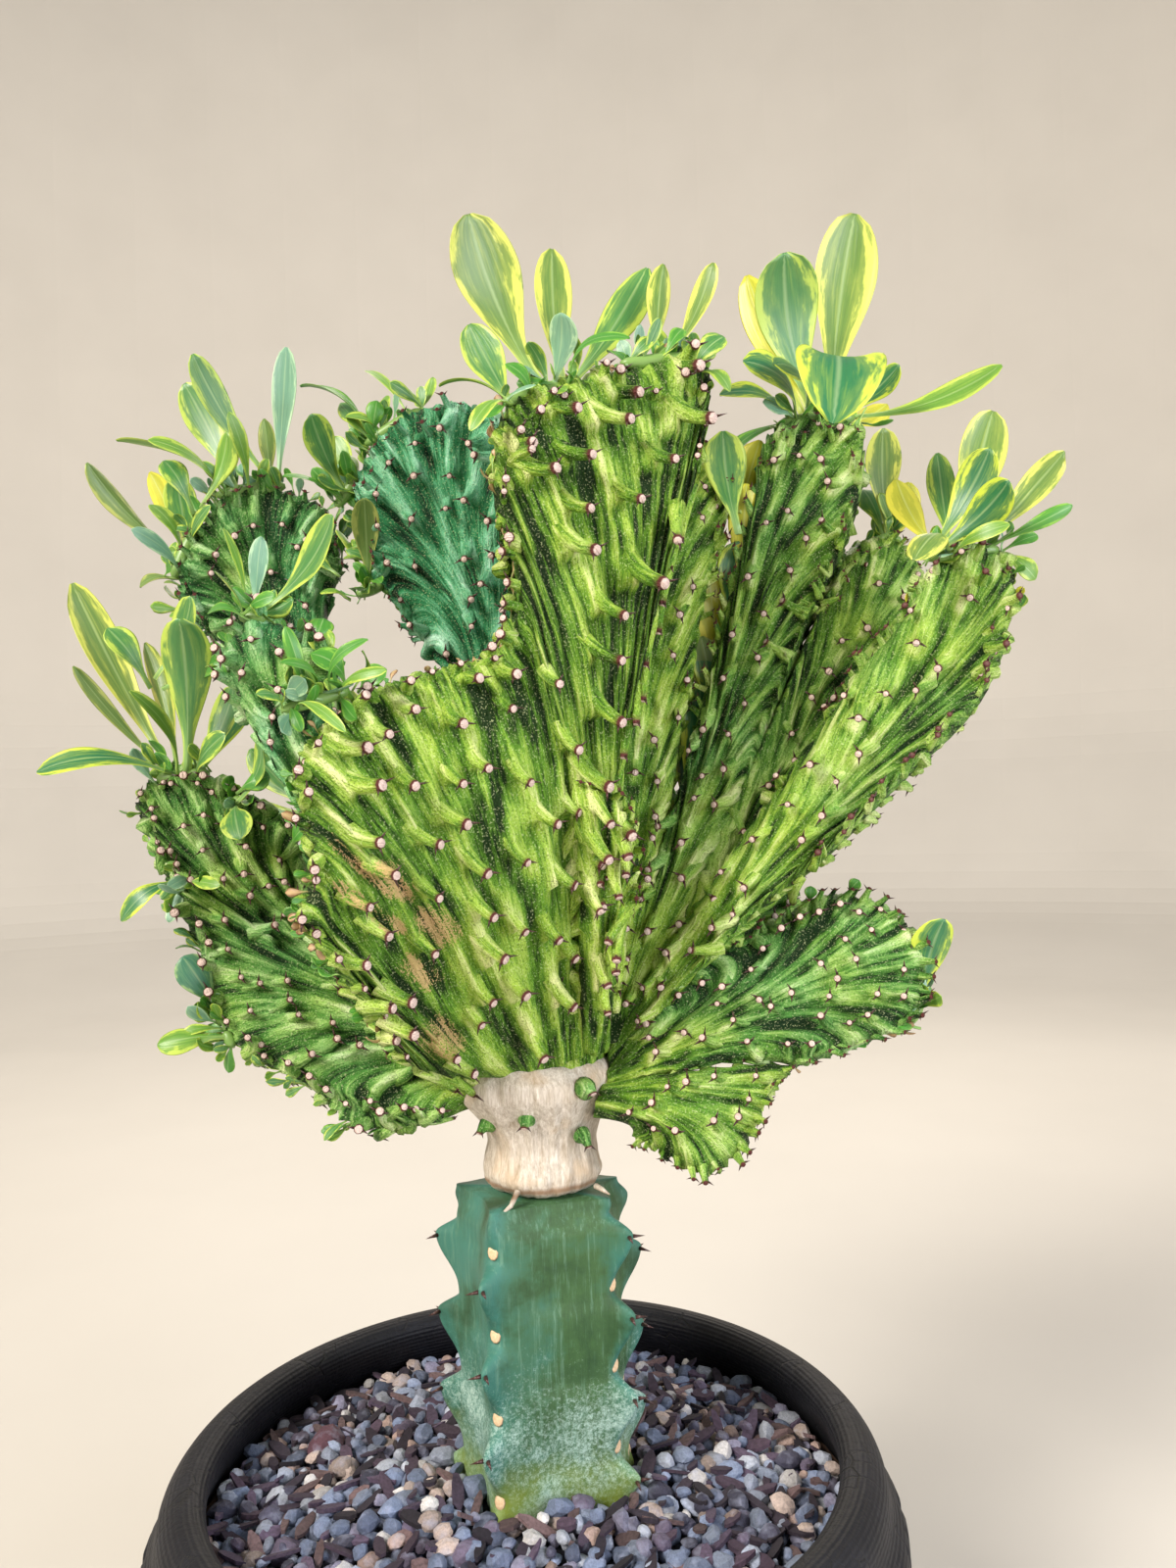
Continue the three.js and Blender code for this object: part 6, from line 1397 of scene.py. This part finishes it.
YOUNG_LONGEST, BUD_LINE_COLOURS = 21.0, ("#5d8438", "#8aa94c")
for number, (name, letters, (start, end, radius), rows) in enumerate(TUFTS):
    draw = np.random.default_rng(301 + number)
    start, end = np.array(start, float), np.array(end, float)
    places = mix(start, end, draw.uniform(-0.15, 1.15, (int(9 + np.linalg.norm(end - start) / 2.2), 1)))
    places = places + draw.normal(size=places.shape) * radius * 0.3
    ways = unit(np.array([row[1] for row in rows], float) - np.array([row[0] for row in rows], float))
    ways = ways[draw.integers(0, len(rows), len(places))] + [0, -0.3, 0.1]
    young = young_rows(draw, places, ways, YOUNG_LONGEST)
    letters += "".join(draw.choice(list("kkglb"), len(young)))
    blade_points, blade_faces, looks = leaf_blades(rows + young, letters, 71 + number)
    bud_shape = bud_line(start, end, radius * 0.7)
    count = len(bud_shape[0])
    inner, margin = (np.tile(linear(tint), (count, 1)) for tint in BUD_LINE_COLOURS)
    bud_looks = {"blade": np.tile([0.3, 0.2, number], (count, 1)), "blade_colour": inner,
                 "margin_colour": margin, "margin_width": np.full(count, -1.0)}
    points, faces = join_parts([(blade_points, blade_faces), bud_shape])
    tuft = put_mesh(name.replace("_leaves", "_tuft"), points, faces, leaf_skin,
                    attributes={key: np.concatenate([looks[key], bud_looks[key]]) for key in looks})
    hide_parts(name)

# Young leaves and dried bracts stand close along the leafier growing edges. They are too small for the CAD.
# A row is a fan, the share of its rim from and to, how many, the longest, and letters of their looks.
YOUNG_EDGES = [("far_left", 0.05, 0.95, 46, 15, "kgblo"), ("back_left", 0.0, 0.55, 60, 17, "kklgl"),
               ("left_neck", 0.1, 1.0, 34, 13, "kkgl"), ("low_left", 0.0, 0.7, 46, 14, "kgld"),
               ("front", 0.02, 0.3, 34, 11, "kkc"), ("front", 0.3, 0.62, 30, 7, "cck"),
               ("front", 0.62, 1.0, 34, 9, "kccl"), ("right_outer", 0.15, 0.5, 26, 12, "glky"),
               ("right_middle", 0.1, 0.4, 6, 9, "gyc"), ("right_column", 0.3, 0.62, 12, 11, "gkd"),
               ("low_right_upper", 0.5, 1.0, 16, 9, "dkc"), ("centre", 0.4, 0.75, 9, 10, "gcy"),
               ("back_high", 0.0, 1.0, 30, 14, "gkl")]
draw = np.random.default_rng(97)
edge_rows, edge_letters = [], ""
for name, low, high, count, longest, letters in YOUNG_EDGES:
    rim = crest_rims[name]
    at = draw.uniform(low, high, count) * (rim.shape[0] - 1)
    last = np.full(count, rim.shape[1] - 1.0)
    places, before = read_grid(rim, at, last), read_grid(rim, at, last - 1)
    sideways = draw.normal(size=(count, 3)) * [0.3, 1.0, 0.3]
    edge_rows += young_rows(draw, places + sideways * 1.6, unit(places - before) + sideways * 0.35, longest)
    edge_letters += "".join(draw.choice(list(letters), count))
edge_points, edge_faces, looks = leaf_blades(edge_rows, edge_letters, 131, rings=9, sides=8)
young_leaves = put_mesh("crest_young_leaves", edge_points, edge_faces, leaf_skin, attributes=looks)

# Single small leaves stand apart from the tufts, and some close the gaps behind the fans. They are fleshy
# blades like the others, each grown straight from the skin of the crest.
LONE_LEAVES = [
    [[-96, -66, 544], [-111, -66, 547], 7, 4, 20], [[-75, 28, 568], [-87, 26, 571], 8, 3, 30],
    [[-80, 32, 581], [-92, 30, 595], 9, -3, 10], [[-63, 38, 648], [-59, 34, 664], 9, 3, 20],
    [[18, -60, 628], [9, -66, 642], 9, 4, 20], [[67, -46, 643], [79, -44, 657], 9, 3, -20],
    [[84, -46, 643], [98, -48, 657], 10, 5, 10], [[59, -46, 642], [50, -40, 656], 8, 3, 30],
    [[86, -46, 642], [99, -52, 633], 8, 5, -10], [[220, -12, 572], [234, -16, 559], 9, 4, 20],
    [[-119, -2, 478], [-104, -8, 484], 10, 3, 10], [[-159, 38, 582], [-175, 34, 578], 9, 3, 20],
    [[-97, 2, 453], [-86, -6, 464], 9, 3, 10], [[179, -2, 363], [164, -10, 364], 8, 3, 20],
    [[135, 10, 420], [136, 8, 427], 6, 2, 0], [[153, 10, 423], [158, 8, 429], 6, 2, 0],
    [[-58, -66, 516], [-69, -74, 529], 13, 5, 20], [[-60, -70, 511], [-75, -78, 512], 11, 5, -20],
    [[-64, -64, 520], [-70, -60, 541], 11, 4, 10], [[-51, -68, 515], [-40, -74, 522], 9, 4, 20],
    [[-65, -72, 501], [-78, -76, 498], 10, 4, -10], [[-53, -75, 507], [-62, -84, 517], 10, 4, 30],
    [[-70, -62, 532], [-67, -58, 545], 10, 3, 10], [[-79, -62, 522], [-90, -60, 531], 9, 4, 20],
    [[106, 26, 512], [97, 30, 574], 22, -5, 10], [[102, 24, 493], [92, 28, 545], 17, -4, -10],
    [[105, 26, 549], [112, 30, 590], 18, -4, 10], [[110, 20, 593], [105, 24, 641], 21, -6, 0],
    [[113, 30, 605], [125, 40, 641], 17, -4, 10], [[153, 30, 557], [151, 34, 586], 14, -4, 0],
    [[81, 22, 453], [91, 28, 522], 17, 3, 10], [[111, 24, 562], [116, 28, 617], 15, -4, 0],
    [[95, 30, 503], [93, 34, 550], 16, 3, 0], [[-159, -2, 527], [-174, -8, 552], 13, 4, 15],
    [[-154, -4, 531], [-135, -12, 564], 15, -4, -10], [[-151, -2, 526], [-123, -12, 542], 14, -4, 10],
    [[-148, 30, 613], [-159, 26, 636], 13, 4, 15], [[-143, 30, 616], [-128, 24, 648], 14, -4, -10],
    [[81, 30, 460], [84, 34, 508], 16, 3, 0]]
LONE_LOOKS = "klgkklgkllkokkkkkklkklkgyodgyydydggkgld"
lone_points, lone_faces, looks = leaf_blades(LONE_LEAVES, LONE_LOOKS, 137, rings=14, sides=12)
lone_leaves = put_mesh("crest_single_leaves", lone_points, lone_faces, leaf_skin, attributes=looks)

# The stage: a pale floor that curves up into a round backdrop, soft boxes of daylight, and the camera, level
# with the crest and a little over half a metre away.
STAGE_SIDES, STAGE_FLAT = 96, 2300
STAGE_PROFILE = [[0.01, 0], [2600, 0], [3400, 120], [4000, 700], [4200, 1600], [4300, 5200]]
bowl, _ = even_profile(STAGE_PROFILE, 90, 6)
bowl[:, 1] = np.where(bowl[:, 0] < STAGE_FLAT, 0, bowl[:, 1])
stage_points = round_axis(bowl[:, :1], *turn_and_height(bowl, STAGE_SIDES)).reshape(-1, 3)
plaster, tree, place = new_material("pale_floor_paint", Roughness=0.9)
mottle = add_node(tree, "TexNoise", {"Vector": place, "Scale": 3.0, "Detail": 3.0})
colour = add_node(tree, "Mix", {0: mottle, 6: linear("#c6c1b9"), 7: linear("#d0cbc3")}, **RGBA)
feed_shader(tree, Base_Color=colour)
floor = put_mesh("studio_floor", stage_points, [grid_faces(len(bowl), STAGE_SIDES, wrap=True)], plaster,
                 smooth=False, rides=False)
floor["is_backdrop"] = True

world = bpy.data.worlds.new("soft_daylight")
world.use_nodes = True
background = world.node_tree.nodes["Background"]
background.inputs["Color"].default_value = linear("#e4e6e6")
background.inputs["Strength"].default_value = 0.5
bpy.context.scene.world = world
PLANT_MIDDLE, WALL_MIDDLE = (0.02, 0.0, 0.42), (0.0, 4.4, 1.3)
LAMPS = [("key", (-2.1, -2.3, 2.6), 1.3, 212.0, "#fff8ee", PLANT_MIDDLE),
         ("fill", (1.6, -1.2, 0.9), 1.4, 46.0, "#eef3ff", PLANT_MIDDLE),
         ("back", (0.3, 1.6, 1.6), 1.2, 14.0, "#fff3e2", PLANT_MIDDLE),
         ("backdrop", (0.0, 1.2, 2.6), 2.4, 30.0, "#fff8ef", WALL_MIDDLE)]


def place_facing(holder, spot, right, up, back):
    """Puts a lamp or the camera at a spot, its own right, up and back along three directions."""
    turn = Matrix(np.column_stack([right, up, back]).tolist()).to_4x4()
    holder.matrix_world = Matrix.Translation(spot) @ turn
    bpy.context.scene.collection.objects.link(holder)


for name, spot, size, power, tint, target in LAMPS:
    lamp = bpy.data.lights.new(name, "AREA")
    lamp.energy, lamp.size, lamp.color = power, size, linear(tint)[:3]
    away = unit(np.array(spot) - np.array(target))
    right = unit(np.cross([0, 0, 1.0], away))
    place_facing(bpy.data.objects.new(name, lamp), spot, right, np.cross(away, right), away)

CAMERA_PLACE, CAMERA_LENS = (0.0363, -0.5276, 0.4676), 27.045
CAMERA_PITCH, CAMERA_ROLL = math.radians(0.96), math.radians(-1.83)
forward = np.array([0, math.cos(CAMERA_PITCH), math.sin(CAMERA_PITCH)])
level_right = np.array([1.0, 0, 0])
level_up = np.cross(level_right, forward)
right = math.cos(CAMERA_ROLL) * level_right + math.sin(CAMERA_ROLL) * level_up
up = -math.sin(CAMERA_ROLL) * level_right + math.cos(CAMERA_ROLL) * level_up
camera = bpy.data.cameras.new("camera")
camera.sensor_width, camera.lens = 36.0, CAMERA_LENS
camera.clip_start, camera.clip_end = 0.01, 50
camera_holder = bpy.data.objects.new("camera", camera)
place_facing(camera_holder, CAMERA_PLACE, right, up, -forward)
bpy.context.scene.camera = camera_holder
bpy.context.scene.view_settings.view_transform = "Standard"

low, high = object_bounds()
